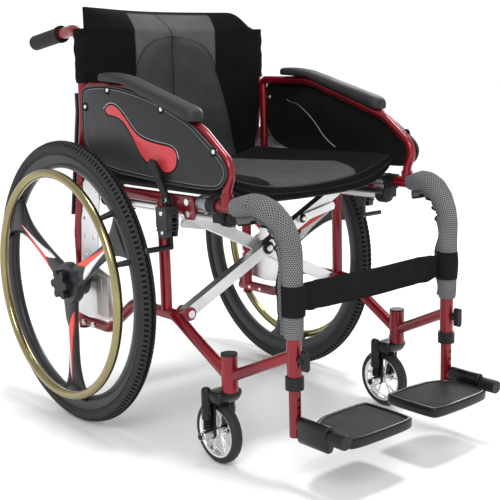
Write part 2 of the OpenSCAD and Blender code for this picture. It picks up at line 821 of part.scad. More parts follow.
strap_z = [323, 376];
strap_fwd = 594;
module calf_strap() {
    color(black) {
        block([-193.5, 193.5], [strap_fwd - 1.5, strap_fwd + 1.5], strap_z);
        for (s = [RIGHT, LEFT])
            on_side(s)
                difference() {
                    z_rod(hanger_x, hanger_fwd, strap_z[0], strap_z[1], sleeve_r + 3);
                    z_rod(hanger_x, hanger_fwd, strap_z[0] - past, strap_z[1] + past, sleeve_r + run_fit);
                }
    }
}

side_frame(RIGHT);  // right_side_frame
side_frame(LEFT);  // left_side_frame
push_grip(RIGHT);  // right_push_grip
push_grip(LEFT);  // left_push_grip
frame_plugs(RIGHT);  // right_frame_plugs
frame_plugs(LEFT);  // left_frame_plugs
frame_bolts(RIGHT);  // right_frame_bolts
frame_bolts(LEFT);  // left_frame_bolts
axle_plate(RIGHT);  // right_axle_plate
axle_plate(LEFT);  // left_axle_plate
axle_block(RIGHT);  // right_axle_block
axle_block(LEFT);  // left_axle_block
tyre(RIGHT);  // right_tyre
tyre(LEFT);  // left_tyre
wheel(RIGHT);  // right_wheel
wheel(LEFT);  // left_wheel
hand_rim(RIGHT);  // right_hand_rim
hand_rim(LEFT);  // left_hand_rim
release_axle(RIGHT);  // right_release_axle
release_axle(LEFT);  // left_release_axle
caster_fork(RIGHT);  // right_caster_fork
caster_fork(LEFT);  // left_caster_fork
caster_axle(RIGHT);  // right_caster_axle
caster_axle(LEFT);  // left_caster_axle
caster_springs(RIGHT);  // right_caster_springs
caster_springs(LEFT);  // left_caster_springs
caster_wheel(RIGHT);  // right_caster_wheel
caster_wheel(LEFT);  // left_caster_wheel
caster_tyre(RIGHT);  // right_caster_tyre
caster_tyre(LEFT);  // left_caster_tyre
arm_tube(RIGHT);  // right_arm_tube
arm_tube(LEFT);  // left_arm_tube
arm_pad(RIGHT);  // right_arm_pad
arm_pad(LEFT);  // left_arm_pad
side_panel(RIGHT);  // right_side_panel
side_panel(LEFT);  // left_side_panel
rear_strip(RIGHT);  // right_rear_strip
rear_strip(LEFT);  // left_rear_strip
brake_body(RIGHT);  // right_brake_body
brake_body(LEFT);  // left_brake_body
brake_lever(RIGHT);  // right_brake_lever
brake_lever(LEFT);  // left_brake_lever
brake_shoe(RIGHT);  // right_brake_shoe
brake_shoe(LEFT);  // left_brake_shoe
footrest_tube(RIGHT);  // right_footrest_tube
footrest_tube(LEFT);  // left_footrest_tube
footplate(RIGHT);  // right_footplate
footplate(LEFT);  // left_footplate
wing_knob(RIGHT);  // right_wing_knob
wing_knob(LEFT);  // left_wing_knob
seat_saddles(RIGHT);  // right_seat_saddles
seat_saddles(LEFT);  // left_seat_saddles
leg_sleeve(RIGHT);  // right_leg_sleeve
leg_sleeve(LEFT);  // left_leg_sleeve
cross_bar(RIGHT);  // right_cross_bar
cross_bar(LEFT);  // left_cross_bar
cross_bolt();
seat_cushion();
back_upholstery();
calf_strap();
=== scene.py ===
"""Looks of a folding manual wheelchair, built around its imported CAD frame."""

import math

import bmesh
import bpy
from mathutils import Matrix, Vector


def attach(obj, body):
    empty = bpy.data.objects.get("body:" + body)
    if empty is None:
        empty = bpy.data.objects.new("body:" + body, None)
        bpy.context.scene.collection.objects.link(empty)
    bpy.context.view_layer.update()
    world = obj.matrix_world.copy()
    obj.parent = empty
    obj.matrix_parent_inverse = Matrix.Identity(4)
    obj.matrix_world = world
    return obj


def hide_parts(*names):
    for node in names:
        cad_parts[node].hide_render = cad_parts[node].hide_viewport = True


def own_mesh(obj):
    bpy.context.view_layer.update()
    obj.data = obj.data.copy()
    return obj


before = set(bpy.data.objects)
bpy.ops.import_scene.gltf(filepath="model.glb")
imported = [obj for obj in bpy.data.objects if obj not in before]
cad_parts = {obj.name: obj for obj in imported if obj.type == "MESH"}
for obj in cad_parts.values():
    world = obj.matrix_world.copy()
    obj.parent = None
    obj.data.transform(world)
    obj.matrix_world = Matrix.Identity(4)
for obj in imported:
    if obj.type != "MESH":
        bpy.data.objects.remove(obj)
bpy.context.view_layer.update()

MM = 0.001
AXLE_Y, AXLE_Z = 211.5, 305.0
KNOB_FWD = 695.0
RAIL_X, RAIL_Z = 242.0, 505.0
SEAT_TUBE_X, SEAT_TUBE_Z = 214.0, 480.0
POST_FWD = -12.0
SIDES = {"right": -1, "left": 1}
ACROSS, ALONG, UP = Vector((1, 0, 0)), Vector((0, 1, 0)), Vector((0, 0, 1))


def at(x, fwd, z):
    """A point in metres, from mm: x from the middle plane, fwd ahead of the rear axle, z above the floor."""
    return Vector((x, AXLE_Y - fwd, z)) * MM


def clamp(value, low=0.0, high=1.0):
    return max(low, min(high, value))


def smooth_step(value, low, high):
    """0 below low and 1 above high, with a smooth rise between them."""
    t = clamp((value - low) / (high - low))
    return t * t * (3 - 2 * t)


# ---------------------------------------------------------------- materials

SHEEN = 0.08
ZONE_MM = 60


class Shader:
    """A material with one Principled shader, and short ways to add nodes to it."""

    def __init__(self, name, colour, rough, metallic=0.0, **inputs):
        self.material = bpy.data.materials.new(name)
        self.material.use_nodes = True
        self.material.diffuse_color = (*colour, 1)
        self.tree = self.material.node_tree
        self.bsdf = self.tree.nodes["Principled BSDF"]
        self.put("Base Color", (*colour, 1))
        self.put("Roughness", rough)
        self.put("Metallic", metallic)
        for key, value in inputs.items():
            self.put(key.replace("_", " "), value)

    def put(self, socket, value):
        """Sets an input of the Principled shader, or links an output to it."""
        self.feed(self.bsdf, socket, value)

    def feed(self, node, socket, value):
        if isinstance(value, bpy.types.NodeSocket):
            self.tree.links.new(value, node.inputs[socket])
        else:
            node.inputs[socket].default_value = value

    def node(self, kind, inputs=(), **settings):
        made = self.tree.nodes.new("ShaderNode" + kind)
        for key, value in settings.items():
            setattr(made, key, value)
        for key, value in dict(inputs).items():
            self.feed(made, key, value)
        return made

    def maths(self, operation, a, b=0.0, c=0.0):
        return self.node("Math", {0: a, 1: b, 2: c}, operation=operation).outputs[0]

    def coords(self, kind="Object", stretch=(1, 1, 1)):
        source = self.node("TexCoord").outputs[kind]
        return self.node("Mapping", {"Vector": source, "Scale": stretch}).outputs[0]

    def noise(self, scale, detail=3.0, kind="Object", stretch=(1, 1, 1)):
        return self.node(
            "TexNoise", {"Vector": self.coords(kind, stretch), "Scale": scale, "Detail": detail}
        ).outputs["Fac"]

    def ramp(self, fac, *stops):
        """Colour ramp; each stop is (place, grey or colour)."""
        made = self.node("ValToRGB", {"Fac": fac})
        elements = made.color_ramp.elements
        while len(elements) < len(stops):
            elements.new(0.5)
        for element, (place, tone) in zip(elements, stops):
            element.position = place
            element.color = (*tone, 1) if hasattr(tone, "__len__") else (tone, tone, tone, 1)
        return made.outputs["Color"]

    def mix(self, fac, a, b):
        made = self.node("Mix", data_type="RGBA")
        self.feed(made, 0, fac)
        self.feed(made, 6, a if isinstance(a, bpy.types.NodeSocket) else (*a, 1))
        self.feed(made, 7, b if isinstance(b, bpy.types.NodeSocket) else (*b, 1))
        return made.outputs[2]

    def bump(self, height, distance, strength=1.0, normal=None):
        made = self.node("Bump", {"Height": height, "Strength": strength, "Distance": distance})
        if normal is not None:
            self.feed(made, "Normal", normal)
        return made.outputs["Normal"]

    def rounded(self, radius):
        return self.node("Bevel", {"Radius": radius}, samples=4).outputs["Normal"]

    def edge(self, radius, low=0.02, high=0.35):
        """1 along sharp edges, where handling wears a surface, and 0 elsewhere."""
        bevel = self.rounded(radius)
        normal = self.node("NewGeometry").outputs["Normal"]
        dot = self.node("VectorMath", {0: bevel, 1: normal}, operation="DOT_PRODUCT").outputs["Value"]
        return self.node(
            "MapRange", {"Value": self.maths("SUBTRACT", 1.0, dot), "From Min": low, "From Max": high}
        ).outputs["Result"]


def painted(name, colour, deep, bare_from=None):
    """Metallic paint under a clear coat, with flakes and worn edges; black plastic ahead of bare_from."""
    s = Shader(name, colour, 0.36, 0.5, Coat_Weight=0.55, Coat_Roughness=0.06, Specular_IOR_Level=0.3)
    flakes = s.noise(2600, 1.0)
    tone = s.mix(s.ramp(s.noise(9, 4.0), (0.3, 0.0), (0.7, 1.0)), deep, colour)
    worn = s.mix(s.maths("MULTIPLY", s.edge(0.0012), 0.35), tone, (0.6, 0.2, 0.2))
    if bare_from is not None:
        along = s.node("SeparateXYZ", {0: s.node("TexCoord").outputs["Object"]}).outputs[1]
        bare = s.maths("LESS_THAN", along, bare_from)
        worn = s.mix(bare, worn, (0.008, 0.008, 0.009))
        coated = s.maths("SUBTRACT", 1.0, bare)
        s.put("Metallic", s.maths("MULTIPLY", coated, 0.5))
        s.put("Coat Weight", s.maths("MULTIPLY", coated, 0.55))
    s.put("Base Color", worn)
    s.put("Roughness", s.ramp(flakes, (0.3, 0.28), (0.7, 0.44)))
    s.put("Normal", s.bump(flakes, 0.00008, 0.25, s.rounded(0.0008)))
    s.put("Coat Normal", s.bump(s.noise(160, 2.0), 0.0001, 0.12))
    return s.material


def metal(name, colour, rough, grain=(1, 1, 1), scale=400):
    """Bare metal, with fine grain lines where grain stretches the noise."""
    s = Shader(name, colour, rough, 1.0)
    lines = s.noise(scale, 4.0, stretch=grain)
    smear = s.ramp(s.noise(14, 5.0), (0.35, 0.0), (0.75, 1.0))
    s.put("Base Color", s.mix(smear, colour, [c * 0.82 for c in colour]))
    s.put("Roughness", s.ramp(lines, (0.25, rough * 0.75), (0.75, min(rough * 1.45, 1.0))))
    s.put("Normal", s.bump(lines, 0.00006, 0.35, s.rounded(0.0006)))
    return s.material


def plastic(name, colour, rough, grain=900, depth=0.00012, shine=0.25, radius=0.0008):
    """Moulded plastic or rubber with a fine grain, dust in it and rubbed edges."""
    s = Shader(name, colour, rough, Specular_IOR_Level=shine)
    pits = s.noise(grain, 3.0)
    cloud = s.noise(18, 5.0)
    light = [clamp(c * 1.35 + 0.003) for c in colour]
    tone = s.mix(s.ramp(cloud, (0.4, 0.0), (0.75, 0.6)), colour, light)
    rubbed = s.maths("MULTIPLY", s.edge(radius), 0.4)
    s.put("Base Color", s.mix(rubbed, tone, [c * 1.8 + 0.012 for c in colour]))
    s.put("Roughness", s.ramp(cloud, (0.3, rough * 0.85), (0.7, min(1.0, rough * 1.15))))
    s.put("Normal", s.bump(pits, depth, 0.5, s.rounded(radius)))
    return s.material


def cell_grid(s, width, height):
    """0 at the middle and 1 at the sides of staggered cells, whose width and height are in metres."""
    split = s.node("SeparateXYZ", {0: s.node("TexCoord").outputs["UV"]})
    row = s.maths("DIVIDE", split.outputs[1], height)
    shift = s.maths("MULTIPLY", s.maths("MODULO", s.maths("FLOOR", row), 2.0), 0.5)
    column = s.maths("ADD", s.maths("DIVIDE", split.outputs[0], width), shift)
    across = s.maths("SUBTRACT", s.maths("FRACT", column), 0.5)
    along = s.maths("SUBTRACT", s.maths("FRACT", row), 0.5)
    total = s.maths("ADD", s.maths("POWER", across, 2.0), s.maths("POWER", along, 2.0))
    return s.maths("MULTIPLY", s.maths("SQRT", total), 2.0)


def spacer_mesh(name, thread, hole, width, height):
    """Knitted spacer mesh: rows of staggered holes with yarn between them."""
    s = Shader(name, thread, 0.85, Specular_IOR_Level=0.1)
    yarn = s.ramp(cell_grid(s, width, height), (0.5, 0.0), (0.8, 1.0))
    cloud = s.ramp(s.noise(12, 4.0), (0.3, 0.0), (0.75, 1.0))
    lit = s.mix(cloud, thread, [c * 0.72 for c in thread])
    s.put("Base Color", s.mix(yarn, hole, lit))
    s.put("Normal", s.bump(yarn, 0.0007, 0.8))
    return s.material


def woven(name, colour, light, pitch, ridge=0.0002):
    """Woven or knitted cloth: two crossing threads with lint and uneven dye."""
    s = Shader(name, colour, 0.9, Specular_IOR_Level=SHEEN)
    s.put("Base Color", weave(s, colour, light, pitch))
    s.put("Normal", s.bump(s.noise(520, 2.0), ridge, 0.6, s.bump(s.noise(60, 4.0), 0.0015, 0.25)))
    return s.material


def weave(s, colour, light, pitch):
    """Tone of two crossing threads, with lint and uneven dye."""
    uv = s.node("SeparateXYZ", {0: s.node("TexCoord").outputs["UV"]})
    warp = s.maths("SINE", s.maths("MULTIPLY", uv.outputs[0], 2 * math.pi / pitch))
    weft = s.maths("SINE", s.maths("MULTIPLY", uv.outputs[1], 2 * math.pi / pitch))
    cross = s.maths("ADD", s.maths("MULTIPLY", s.maths("MULTIPLY", warp, weft), 0.5), 0.5)
    cloud = s.ramp(s.noise(22, 5.0), (0.35, 0.0), (0.75, 0.35))
    lint = s.ramp(s.noise(520, 2.0), (0.62, 0.0), (0.75, 0.4))
    tone = s.mix(cloud, s.mix(cross, colour, light), light)
    return s.mix(lint, tone, [c * 1.7 + 0.004 for c in light])


def zone(s, name):
    """0 or 1 on the two sides of a border that the mesh stores as an attribute of 0.5 along it."""
    value = s.node("Attribute", attribute_name=name).outputs["Fac"]
    return s.ramp(value, (0.47, 0.0), (0.53, 1.0))


def border_line(s, name, width):
    """1 in a narrow line along a zone's border."""
    value = s.node("Attribute", attribute_name=name).outputs["Fac"]
    off = s.maths("ABSOLUTE", s.maths("SUBTRACT", value, 0.5))
    return s.ramp(off, (width * 0.5, 0.85), (width, 0.0))


def cover(name, upper, lower):
    """Black cloth, knitted in zone "grey": lower tone inside zone "lobe", and upper tone outside it."""
    s = Shader(name, (0.005, 0.005, 0.005), 0.9, Specular_IOR_Level=SHEEN)
    cloth = weave(s, (0.003, 0.003, 0.003), (0.009, 0.009, 0.009), 0.0022)
    yarn = s.ramp(cell_grid(s, 0.0024, 0.0034), (0.3, 0.0), (0.8, 1.0))
    cloud = s.ramp(s.noise(26, 5.0), (0.3, 0.0), (0.75, 1.0))
    thread = s.mix(zone(s, "lobe"), upper, lower)
    thread = s.mix(cloud, thread, s.mix(0.22, thread, (0.0, 0.0, 0.0)))
    knit = s.mix(yarn, s.mix(0.35, thread, (0.0, 0.0, 0.0)), thread)
    for seam in ("lobe", "middle"):
        knit = s.mix(border_line(s, seam, 0.03), knit, (0.008, 0.008, 0.008))
    s.put("Base Color", s.mix(zone(s, "grey"), cloth, knit))
    s.put("Normal", s.bump(yarn, 0.0002, 0.5, s.bump(s.noise(45, 4.0), 0.0012, 0.2)))
    return s.material


def inlay_material():
    """Red inlay with a raised net of diamonds."""
    s = Shader("inlay_red", (0.50, 0.03, 0.04), 0.4, Coat_Weight=0.2, Coat_Roughness=0.2)
    uv = s.node("SeparateXYZ", {0: s.node("TexCoord").outputs["UV"]})
    lines = []
    for sign in (1.0, -1.0):
        place = s.maths("ADD", uv.outputs[0], s.maths("MULTIPLY", uv.outputs[1], sign))
        share = s.maths("FRACT", s.maths("DIVIDE", place, 0.009))
        lines.append(s.maths("ABSOLUTE", s.maths("SUBTRACT", share, 0.5)))
    net = s.ramp(s.maths("MINIMUM", *lines), (0.03, 1.0), (0.14, 0.0))
    s.put("Base Color", s.mix(net, (0.60, 0.035, 0.05), (0.36, 0.012, 0.02)))
    s.put("Normal", s.bump(net, 0.0008, 0.7))
    return s.material


def footplate_material():
    """Black plastic with a pebbled tread."""
    s = Shader("tread_plastic", (0.012, 0.012, 0.012), 0.55, Specular_IOR_Level=0.2)
    cells = s.node(
        "TexVoronoi", {"Vector": s.coords(), "Scale": 420.0}, feature="DISTANCE_TO_EDGE"
    ).outputs["Distance"]
    pebble = s.ramp(cells, (0.0, 0.0), (0.35, 1.0))
    dust = s.ramp(s.noise(16, 6.0), (0.4, 0.0), (0.75, 1.0))
    s.put("Base Color", s.mix(dust, (0.010, 0.010, 0.010), (0.030, 0.029, 0.027)))
    s.put("Normal", s.bump(pebble, 0.0006, 0.8))
    return s.material


RED = (0.27, 0.004, 0.013)
DEEP_RED = (0.13, 0.002, 0.007)
MATERIALS = {
    "red_paint": painted("red_paint", RED, DEEP_RED),
    "footrest_paint": painted("footrest_paint", RED, DEEP_RED, (AXLE_Y - KNOB_FWD) * MM),
    "grip_rubber": plastic("grip_rubber", (0.010, 0.010, 0.011), 0.6, 700, 0.0002, 0.2),
    "black_plastic": plastic("black_plastic", (0.008, 0.008, 0.009), 0.42),
    "satin_plastic": plastic("satin_plastic", (0.020, 0.021, 0.024), 0.4, 1200, 0.00008, 0.35),
    "bolt_steel": metal("bolt_steel", (0.78, 0.78, 0.79), 0.2),
    "plate_aluminium": metal("plate_aluminium", (0.90, 0.90, 0.92), 0.42, (1, 1, 0.06)),
    "block_aluminium": metal("block_aluminium", (0.60, 0.59, 0.56), 0.48, (1, 1, 0.06)),
    "bar_aluminium": metal("bar_aluminium", (0.78, 0.78, 0.79), 0.3, scale=900),
    "clamp_grey": metal("clamp_grey", (0.30, 0.31, 0.33), 0.34),
    "tyre_rubber": plastic("tyre_rubber", (0.021, 0.021, 0.0215), 0.6, 500, 0.0002, 0.25, 0.0006),
    # near-black rubber used only as painted shade in the tyre's slots and along its rib edges
    "tyre_groove_shade": plastic("tyre_groove_shade", (0.004, 0.004, 0.004), 0.75, 500, 0.0002, 0.08, 0.0006),
    "wheel_plastic": plastic("wheel_plastic", (0.022, 0.023, 0.027), 0.36, 900, 0.00006, 0.35),
    "hand_rim_metal": metal("hand_rim_metal", (0.33, 0.285, 0.145), 0.18, scale=500),
    "black_metal": plastic("black_metal", (0.005, 0.005, 0.006), 0.24, 600, 0.00004, 0.3, 0.001),
    "caster_alloy": metal("caster_alloy", (0.84, 0.84, 0.86), 0.24),
    "pad_foam": plastic("pad_foam", (0.016, 0.016, 0.018), 0.5, 1500, 0.0002, 0.3, 0.0015),
    "panel_plastic": plastic("panel_plastic", (0.014, 0.0145, 0.017), 0.42, 1400, 0.00014, 0.3),
    # darker, duller copy of the panel plastic: painted shade on the panel's inner face, in its grooves and
    # round its screws
    "panel_inside": plastic("panel_inside", (0.006, 0.006, 0.006), 0.6, 1400, 0.00014, 0.12),
    "mesh_fabric": spacer_mesh("mesh_fabric", (0.23, 0.235, 0.24), (0.004, 0.004, 0.005), 0.0050, 0.0034),
    "seat_fabric": cover("seat_fabric", (0.085, 0.086, 0.088), (0.085, 0.086, 0.088)),
    "back_fabric": cover("back_fabric", (0.115, 0.118, 0.120), (0.060, 0.062, 0.063)),
    "strap_webbing": woven("strap_webbing", (0.005, 0.005, 0.006), (0.014, 0.014, 0.015), 0.0028, 0.0004),
    "piping": plastic("piping", (0.006, 0.006, 0.006), 0.5, 600, 0.0002, 0.2),
    "decal_red": plastic("decal_red", (0.80, 0.085, 0.065), 0.35, 300, 0.00003),
    "decal_white": plastic("decal_white", (0.86, 0.86, 0.86), 0.35, 300, 0.00003),
    "inlay_red": inlay_material(),
    "tread_plastic": footplate_material(),
    "silver_line": metal("silver_line", (0.62, 0.63, 0.64), 0.3),
}


# ---------------------------------------------------------------- mesh helpers


def make(name, parts, body, material, sharp=35.0):
    """A piece that rides on body, from parts: (vertices, faces, (u, v) of each corner, material index)."""
    verts, faces, uvs, marks = [], [], [], []
    for part in parts:
        base = len(verts)
        verts += part[0]
        faces += [[base + i for i in face] for face in part[1]]
        uvs += part[2] if part[2] else [[(0.0, 0.0)] * len(face) for face in part[1]]
        marks += [part[3] if len(part) > 3 else 0] * len(part[1])
    mesh = bpy.data.meshes.new(name)
    mesh.from_pydata([tuple(v) for v in verts], [], faces)
    layer = mesh.uv_layers.new(name="UVMap")
    flat = [pair for face in uvs for pair in face]
    for loop, pair in zip(layer.data, flat):
        loop.uv = pair
    for polygon, mark in zip(mesh.polygons, marks):
        polygon.material_index = mark
    bm = bmesh.new()
    bm.from_mesh(mesh)
    bmesh.ops.recalc_face_normals(bm, faces=bm.faces)
    bm.to_mesh(mesh)
    bm.free()
    mesh.shade_smooth()
    mesh.set_sharp_from_angle(angle=math.radians(sharp))
    for key in [material] if isinstance(material, str) else material:
        mesh.materials.append(MATERIALS[key])
    obj = bpy.data.objects.new(name, mesh)
    bpy.context.scene.collection.objects.link(obj)
    if body:
        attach(obj, body)
    return obj


def turns(count):
    """Evenly spaced angles of a full turn."""
    return [2 * math.pi * k / count for k in range(count)]


def circle(centre, radius, sides, u=ACROSS, v=ALONG):
    """Points round centre in the plane of u and v; radius in mm."""
    return [centre + (u * math.cos(a) + v * math.sin(a)) * radius * MM for a in turns(sides)]


def loft(rings, closed_rings=True, caps=True, around=False, mark=0):
    """Quads between rings of points. around joins the last ring to the first. UVs are in metres."""
    count = len(rings[0])
    verts = [p for ring in rings for p in ring]
    faces, uvs = [], []
    spans = count if closed_rings else count - 1
    girth = [0.0]
    middle = rings[len(rings) // 2]
    for j in range(spans):
        girth.append(girth[-1] + (middle[(j + 1) % count] - middle[j]).length)
    run = [0.0]
    steps = len(rings) if around else len(rings) - 1
    for i in range(steps):
        a, b = rings[i], rings[(i + 1) % len(rings)]
        run.append(run[-1] + sum((b[j] - a[j]).length for j in range(count)) / count)
    for i in range(steps):
        for j in range(spans):
            k, n = (j + 1) % count, (i + 1) % len(rings)
            faces.append([i * count + j, i * count + k, n * count + k, n * count + j])
            (u0, u1), (v0, v1) = girth[j:j + 2], run[i:i + 2]
            uvs.append([(u0, v0), (u1, v0), (u1, v1), (u0, v1)])
    if caps and not around:
        for start in (0, (len(rings) - 1) * count):
            faces.append([start + j for j in range(count)])
            uvs.append([(0.0, 0.0)] * count)
    return verts, faces, uvs, mark


def frames(path, closed=False):
    """Direction and two cross directions at each point of a path, without twist."""
    last = len(path) - 1
    out = []
    side = None
    for i, p in enumerate(path):
        a = path[(i - 1) % len(path)] if closed else path[max(i - 1, 0)]
        b = path[(i + 1) % len(path)] if closed else path[min(i + 1, last)]
        d = (b - a).normalized()
        if side is None:
            seed = Vector((0, 0, 1)) if abs(d.z) < 0.9 else Vector((1, 0, 0))
            side = d.cross(seed).normalized()
        side = (side - d * side.dot(d)).normalized()
        out.append((d, side, d.cross(side)))
    return out


def tube(path, radius, sides=16, closed=False, caps=True, mark=0):
    """Round tube along a path of points; radius in metres may be a function of (share of path, angle)."""
    rings = []
    for i, (p, (_, u, v)) in enumerate(zip(path, frames(path, closed))):
        ring = []
        for a in turns(sides):
            r = radius(i / max(len(path) - 1, 1), a) if callable(radius) else radius
            ring.append(p + u * (r * math.cos(a)) + v * (r * math.sin(a)))
        rings.append(ring)
    return loft(rings, True, caps, closed, mark)


def bent_path(corners, bends, step=4.0):
    """Points along corners in mm, rounded with a bend radius at each inner corner, as Vectors in metres."""
    pts = [corners[0]]
    for i in range(1, len(corners) - 1):
        p = corners[i]
        u = (p - corners[i - 1]).normalized()
        w = (corners[i + 1] - p).normalized()
        turn = u.angle(w)
        r = bends[i - 1] * MM
        trim = r * math.tan(turn / 2)
        n = (w - u * u.dot(w)).normalized()
        centre = p - u * trim + n * r
        count = max(4, int(r * turn / (step * MM)))
        for k in range(count + 1):
            a = turn * k / count
            pts.append(centre - n * (r * math.cos(a)) + u * (r * math.sin(a)))
    pts.append(corners[-1])
    out = [pts[0]]
    for a, b in zip(pts, pts[1:]):
        pieces = max(1, int((b - a).length / (step * 3 * MM)))
        out += [a.lerp(b, (k + 1) / pieces) for k in range(pieces)]
    return out


def revolve(profile, centre, segments, side, shape=None):
    """Ring round a wheel's axis, from a profile of (radius, x) in mm; shape may change a point's radius."""
    rings = []
    for i, a in enumerate(turns(segments)):
        ring = []
        for j, (r, x) in enumerate(profile):
            reach = (shape(i, j, r) if shape else r) * MM
            place = (centre[0] + reach * math.cos(a), centre[1] + reach * math.sin(a))
            ring.append(Vector((side * x * MM, *place)))
        rings.append(ring)
    return loft(rings, True, False, True)


def smooth_outline(points, rounds=2, closed=True):
    """Chaikin's corner cutting on a list of 2D or 3D points."""
    for _ in range(rounds):
        out = []
        count = len(points) if closed else len(points) - 1
        if not closed:
            out.append(points[0])
        for i in range(count):
            a, b = Vector(points[i]), Vector(points[(i + 1) % len(points)])
            out += [a * 0.75 + b * 0.25, a * 0.25 + b * 0.75]
        if not closed:
            out.append(points[-1])
        points = out
    return [Vector(p) for p in points]


def inset_outline(points, distance):
    """Moves a closed 2D outline inwards by distance, along its corners' middle directions."""
    area = sum(a[0] * b[1] - b[0] * a[1] for a, b in zip(points, points[1:] + points[:1]))
    sign = 1 if area > 0 else -1
    out = []
    for i, p in enumerate(points):
        a, b = points[i - 1], points[(i + 1) % len(points)]
        d = (Vector(b) - Vector(a)).normalized()
        out.append(Vector((p[0] - d.y * distance * sign, p[1] + d.x * distance * sign)))
    return out


def inset_rings(outline, levels, place):
    """Rings for a loft: the outline moved inwards at each level; place(point, level) gives each point."""
    return [[place(p, level) for p in (inset_outline(outline, inward) if inward else outline)]
            for inward, level in levels]


def plate(outline, x0, x1, side, edge=0.8):
    """Plate across X with rounded edges, from an outline of (fwd, z) in mm; its UVs are in metres."""
    levels = [(edge, x0), (edge * 0.3, x0 + edge * 0.3), (0, x0 + edge)]
    levels += [(0, x1 - edge), (edge * 0.3, x1 - edge * 0.3), (edge, x1)]
    verts, faces, _, mark = loft(inset_rings(outline, levels, lambda p, x: at(side * x, p[0], p[1])))
    uvs = [[(verts[i].y, verts[i].z) for i in face] for face in faces]
    return verts, faces, uvs, mark


def button(centre, radius, height, axis, socket=True):
    """Round screw head with a domed rim and a socket, along axis."""
    d = Vector(axis).normalized()
    u = d.orthogonal().normalized()
    v = d.cross(u)
    profile = [(0.97, 0), (1, 0.3), (0.85, 0.8), (0.6, 1)]
    profile += [(0.42, 1), (0.38, 0.45)] if socket else [(0.2, 1.05)]
    return loft([circle(centre + d * h * height * MM, r * radius, 20, u, v) for r, h in profile])


def superellipse(count, power):
    """Points of a rounded square of half size 1; a smaller power makes its corners sharper."""
    out = []
    for a in turns(count):
        c, s = math.cos(a), math.sin(a)
        out.append((math.copysign(abs(c) ** power, c), math.copysign(abs(s) ** power, s)))
    return out


# ---------------------------------------------------------------- CAD nodes that stay

CAD_FINISH = {
    "side_frame": "red_paint",
    "frame_plugs": "black_plastic",
    "frame_bolts": "bolt_steel",
    "axle_plate": "plate_aluminium",
    "axle_block": "block_aluminium",
    "release_axle": "black_plastic",
    "rear_strip": "black_plastic",
    "caster_axle": "bolt_steel",
    "arm_tube": "red_paint",
    "brake_body": "satin_plastic",
    "brake_shoe": "black_metal",
    "footrest_tube": "footrest_paint",
    "wing_knob": "black_plastic",
    "seat_saddles": "black_plastic",
    "cross_bar": "bar_aluminium",
    "push_grip": "grip_rubber",
}


def finish_cad_nodes():
    """Gives every CAD node its material; those that no line names are bare bolts, or are replaced later."""
    for name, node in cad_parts.items():
        kind = name.split("_", 1)[1] if name.startswith(("right_", "left_")) else name
        key = CAD_FINISH.get(kind, "bolt_steel")
        node.data.materials.clear()
        node.data.materials.append(MATERIALS[key])


# ---------------------------------------------------------------- rear wheels

WHEEL_X = 305.0
WHEEL_R = 305.0
TYRE_R = 17.0
HAND_RIM_R = 238.5
HAND_RIM_X = 342.0
SPOKE_ANGLES = (30.0, 150.0, 270.0)
SPOKE_MID_X, SPOKE_DEEP = 308.5, 9.5
TREAD_BLOCKS = 172
AXLE_CENTRE = (AXLE_Y * MM, AXLE_Z * MM)


def tyre(label, side):
    """Tyre with shoulder blocks on both sides of a zigzag rib, and moulding lines on its walls; painted shade
    darkens its slots and rib edges.
    """
    half = (9, 12, 28, 45, 62, 66, 74, 77, 80, 90, 104, 109, 112, 125, 150)
    angles = [math.radians(a) for a in (*(-a for a in reversed(half)), 0, *half)]
    wall_lines = (77, 109)
    rib_edge = 9

    def on_line(a):
        return min(abs(abs(math.degrees(a)) - line) for line in wall_lines) < 1

    base = []
    for a in angles:
        r = TYRE_R - (0.0 if on_line(a) else 1.1)
        base.append((WHEEL_R - TYRE_R + TYRE_R * math.cos(a), WHEEL_X + r * math.sin(a)))

    def slotted(step, j):
        """Whether a point lies in one of the slots between the shoulder blocks."""
        turn = math.degrees(angles[j])
        phase = (step + (2 if turn > 0 else 0)) % 4
        return 26 < abs(turn) < 63 and phase == 0

    def on_rib_edge(j):
        return abs(abs(math.degrees(angles[j])) - rib_edge) < 0.5

    def tread(step, j, r):
        flat = abs(math.degrees(angles[j]))
        if slotted(step, j):
            return r - 3.2 * math.cos(angles[j])
        if 8 < flat < 13:
            return r - (2.2 if (step + (1 if flat > 10 else 0)) % 4 in (0, 1) else 0.3)
        return r if on_line(angles[j]) else r - 0.35 * max(math.cos(angles[j]), 0.0)

    part = revolve(base, AXLE_CENTRE, TREAD_BLOCKS * 4, side, tread)
    obj = make(f"{label}_tyre_tread", [part], f"{label}_rear_wheel", ["tyre_rubber", "tyre_groove_shade"],
               28)
    count = len(angles)
    # faces in the slots and along the rib's edges take material 1: near-black painted shade in the tread's
    # recesses
    for polygon in obj.data.polygons:
        rows = [divmod(k, count) for k in polygon.vertices]
        deep = sum(1 for step, j in rows if slotted(step, j) or on_rib_edge(j))
        polygon.material_index = 1 if deep >= 2 else 0
    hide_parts(f"{label}_tyre")


def spoke_half(r):
    """Half of a spoke's width at a distance from the hub, in mm."""
    return 15 + 9 * ((150 - min(r, 150)) / 110) ** 2 + 36 * (max(r - 150, 0) / 100) ** 2.6


def spin(r, t, x, angle):
    """Point at r along and t across a spoke that stands at angle, in metres."""
    a = math.radians(angle)
    fwd = r * math.cos(a) - t * math.sin(a)
    up = r * math.sin(a) + t * math.cos(a)
    return at(x, fwd, AXLE_Z + up)


